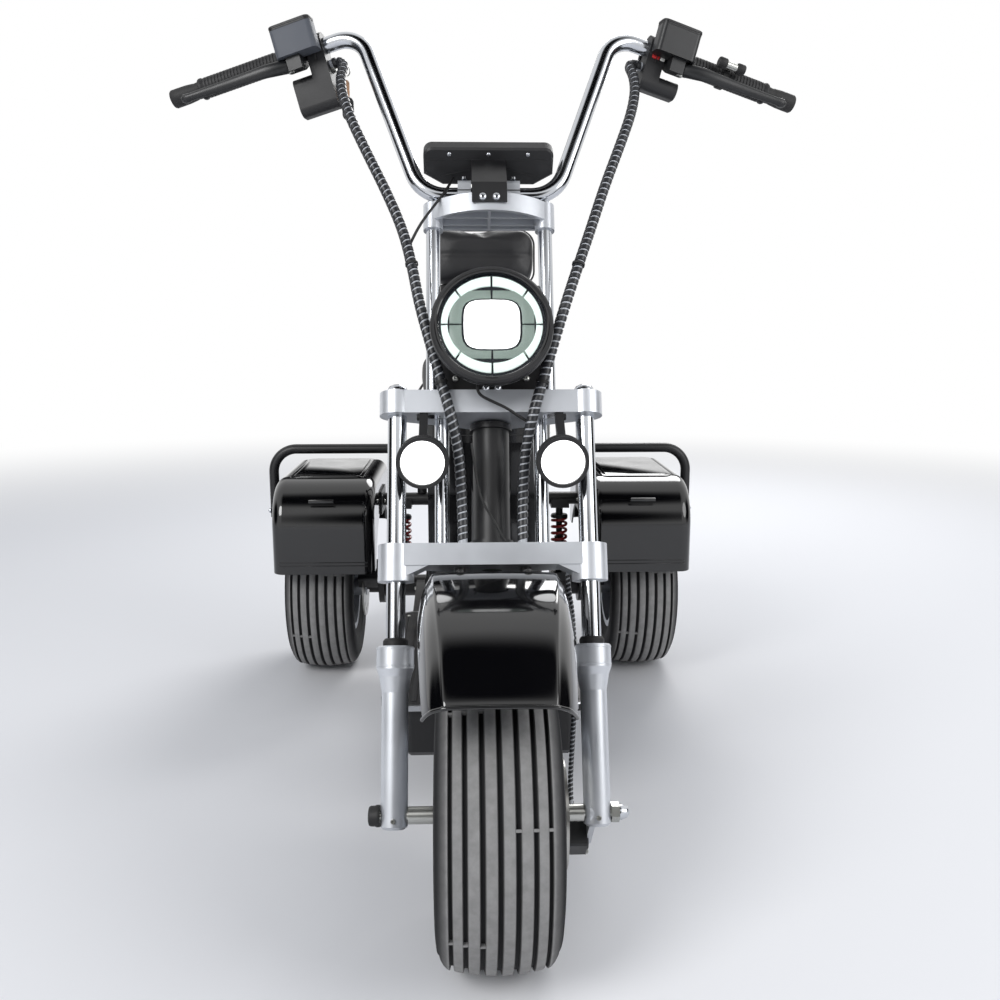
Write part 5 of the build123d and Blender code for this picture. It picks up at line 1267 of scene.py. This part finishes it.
# Rear drive: a powder coated beam and gear housing, a finned alloy motor can, steel trailing arms
# bolted to eyes on the beam, and a damper in a red coil on each side. The springs' paint is smooth
# and shiny.
dress(black_steel, "rear_axle_beam", "trailing_arms", "rear_subframe")
dress(black_alloy, "motor")
motor_y, motor_z = rear_axle_y - 0.124, 0.218
bm = bmesh.new()
for k in range(9):
    x = -0.034 - k * 0.0105
    can = sideways((x, motor_y, motor_z), -1)
    turn(bm, can, [(75.6, 0), (79.0, 0.8), (79.0, 3.2), (75.6, 4.0)], 48)
can = sideways((-0.128, motor_y, motor_z), -1)
turn(bm, can, [(76, 0), (76, 4), (70, 8), (40, 9), (38, 12), (20, 13), (0, 13)], 48)
smooth_piece("motor_fins", bm, black_alloy, "chassis")
bm = bmesh.new()
for k in range(6):
    a = radians(60 * k)
    place = (-0.1335, motor_y + 0.060 * cos(a), motor_z + 0.060 * sin(a))
    bolt(bm, sideways(place, -1), 3.5, 4.0, "hex")
for k in range(8):
    a = radians(45 * k + 20)
    place = (0.050, rear_axle_y + 0.076 * cos(a), axle_z + 0.076 * sin(a))
    bolt(bm, sideways(place, 1), 3.5, 4.0, "hex")
for side in (-1, 1):
    for y in (-0.010, -0.030):
        bolt(bm, sideways((side * 0.166, rear_axle_y + y, axle_z), side), 5.0, 6.0, "hex")
    for y in (-0.026, 0.026):
        bolt(bm, sideways((side * 0.244, rear_axle_y + y, 0.430), -side), 4.0, 4.0, "dome")
smooth_piece("drive_bolts", bm, zinc, "chassis")
bm = bmesh.new()
for x in (-0.056, -0.064, -0.072):
    gland = stand((x, motor_y - 0.060, motor_z + 0.052), (0, -1, 0.6))
    turn(bm, gland, [(0, -4), (5, -4), (5, 16), (3.6, 18), (0, 18)], 16)
smooth_piece("motor_lead_glands", bm, black_rubber, "chassis")
spring_paint = grained("red_spring_paint", "#8f1416", 2.0, 0.03, 0.3)
shock_low, shock_high = 238.0, 408.0
coil_low, coil_high, coil_r = 262.0, 380.0, 18.2
coil_count, coil_steps = 7, 24
damper = [
    # radius, height
    (0, shock_low), (9, shock_low), (10, 243), (10, 254), (21.5, 255), (22, 257), (22, 260), (12, 261.5), (12, 330),
    (8, 332), (8, 378), (21.5, 380), (22, 384), (20, 388), (9, 389), (9, shock_high), (0, shock_high),
]
for side, label in ((1, "left"), (-1, "right")):
    foot = Matrix.Translation((side * 0.200, rear_axle_y, 0))
    bm = bmesh.new()
    rings = []
    for k in range(coil_count * coil_steps + 1):
        a = 2 * pi * k / coil_steps
        up = coil_low + (coil_high - coil_low) * k / (coil_count * coil_steps)
        centre = foot @ (Vector((coil_r * cos(a), coil_r * sin(a), up)) / 1000)
        way = Vector((-sin(a), cos(a), 0.18)).normalized()
        rings.append(oval(stand(centre, way, (cos(a), sin(a), 0)), 3.7, 3.7, 8))
    loft(bm, rings)
    stands_for = ["shock_absorbers"] if side == 1 else []
    smooth_piece(f"{label}_shock_coil", bm, spring_paint, "chassis", stands_for)
    bm = bmesh.new()
    turn(bm, foot, damper, 32)
    smooth_piece(f"{label}_damper", bm, black_alloy, "chassis")

# Rear fenders: moulded ABS in gloss black with a rounded top, a shallow panel pressed into the top
# near the front, and two bolts on the inner side. A bent steel tube over each serves as a grab bar.
dress(gloss_plastic, "rear_fender_left", "rear_fender_right")
dress(black_steel, "grab_bar_left", "grab_bar_right", "plate_bracket")
rear_fender_x = 0.370
bm = bmesh.new()
for side in (-1, 1):
    for w, h, low, high in ((176, 318, -0.4, 1.4), (158, 300, 0.8, 2.4)):
        top = Matrix.Translation((side * rear_fender_x, rear_axle_y, 0.511))
        plate(bm, top, rounded(w, h, 22), low, high, 0.8)
smooth_piece("fender_top_panels", bm, gloss_plastic, "chassis")
bm = bmesh.new()
for side in (-1, 1):
    block(bm, Matrix.Translation((side * rear_fender_x, 0.3180, 0.470)), (58, 2.4, 8), 1.0, 2)
    for z in (0.318, 0.326):
        block(bm, Matrix.Translation((side * rear_fender_x, 0.3182, z)), (206, 2.0, 2.2), 0.7, 1)
smooth_piece("fender_front_lines", bm, gloss_plastic, "chassis")
bm = bmesh.new()
for side in (-1, 1):
    bolt(bm, sideways((side * 0.534, rear_axle_y, 0.402), side), 6.5, 6.0, "dome")
    for z in (0.416, 0.444):
        bolt(bm, sideways((side * 0.2520, 0.530, z), -side), 5.5, 5.0, "dome")
smooth_piece("fender_bolts", bm, chrome, "chassis")

# Tail lamps: red acrylic lenses over black bases, with an amber turn section beside each.
# Ribs inside the red lens break its reflections into fine upright lines.
acrylic = {"Base Color": linear("#a00a10"), "Roughness": 0.1, "Coat Weight": 0.4}
red_lens, tree, _ = start_finish("red_acrylic", acrylic)
place = put(tree, "ShaderNodeTexCoord").outputs["Object"]
ribs = put(tree, "ShaderNodeTexWave", {"bands_direction": "X", "Scale": 55.0, "Distortion": 0.0}, {"Vector": place})
emboss(tree, ribs.outputs["Fac"], 0.7, 0.0008)
amber_lens = start_finish("amber_acrylic", {"Base Color": linear("#c9680c"), "Roughness": 0.1})[0]
dress(matte_plastic, "tail_lamps")
lamp_lenses = [
    # name, finish, middle from the fender's middle, width
    ("tail_lamp_lenses", red_lens, -0.016, 56),
    ("turn_lamp_lenses", amber_lens, 0.0295, 29),
]
for name, finish, middle, width in lamp_lenses:
    bm = bmesh.new()
    for side in (-1, 1):
        lens_at = stand((side * (rear_fender_x + middle), 0.8362, 0.370), (0, 1, 0))
        plate(bm, lens_at, rounded(width, 44, 6), -1.0, 3.0, 1.6, 3)
    smooth_piece(name, bm, finish, "chassis")
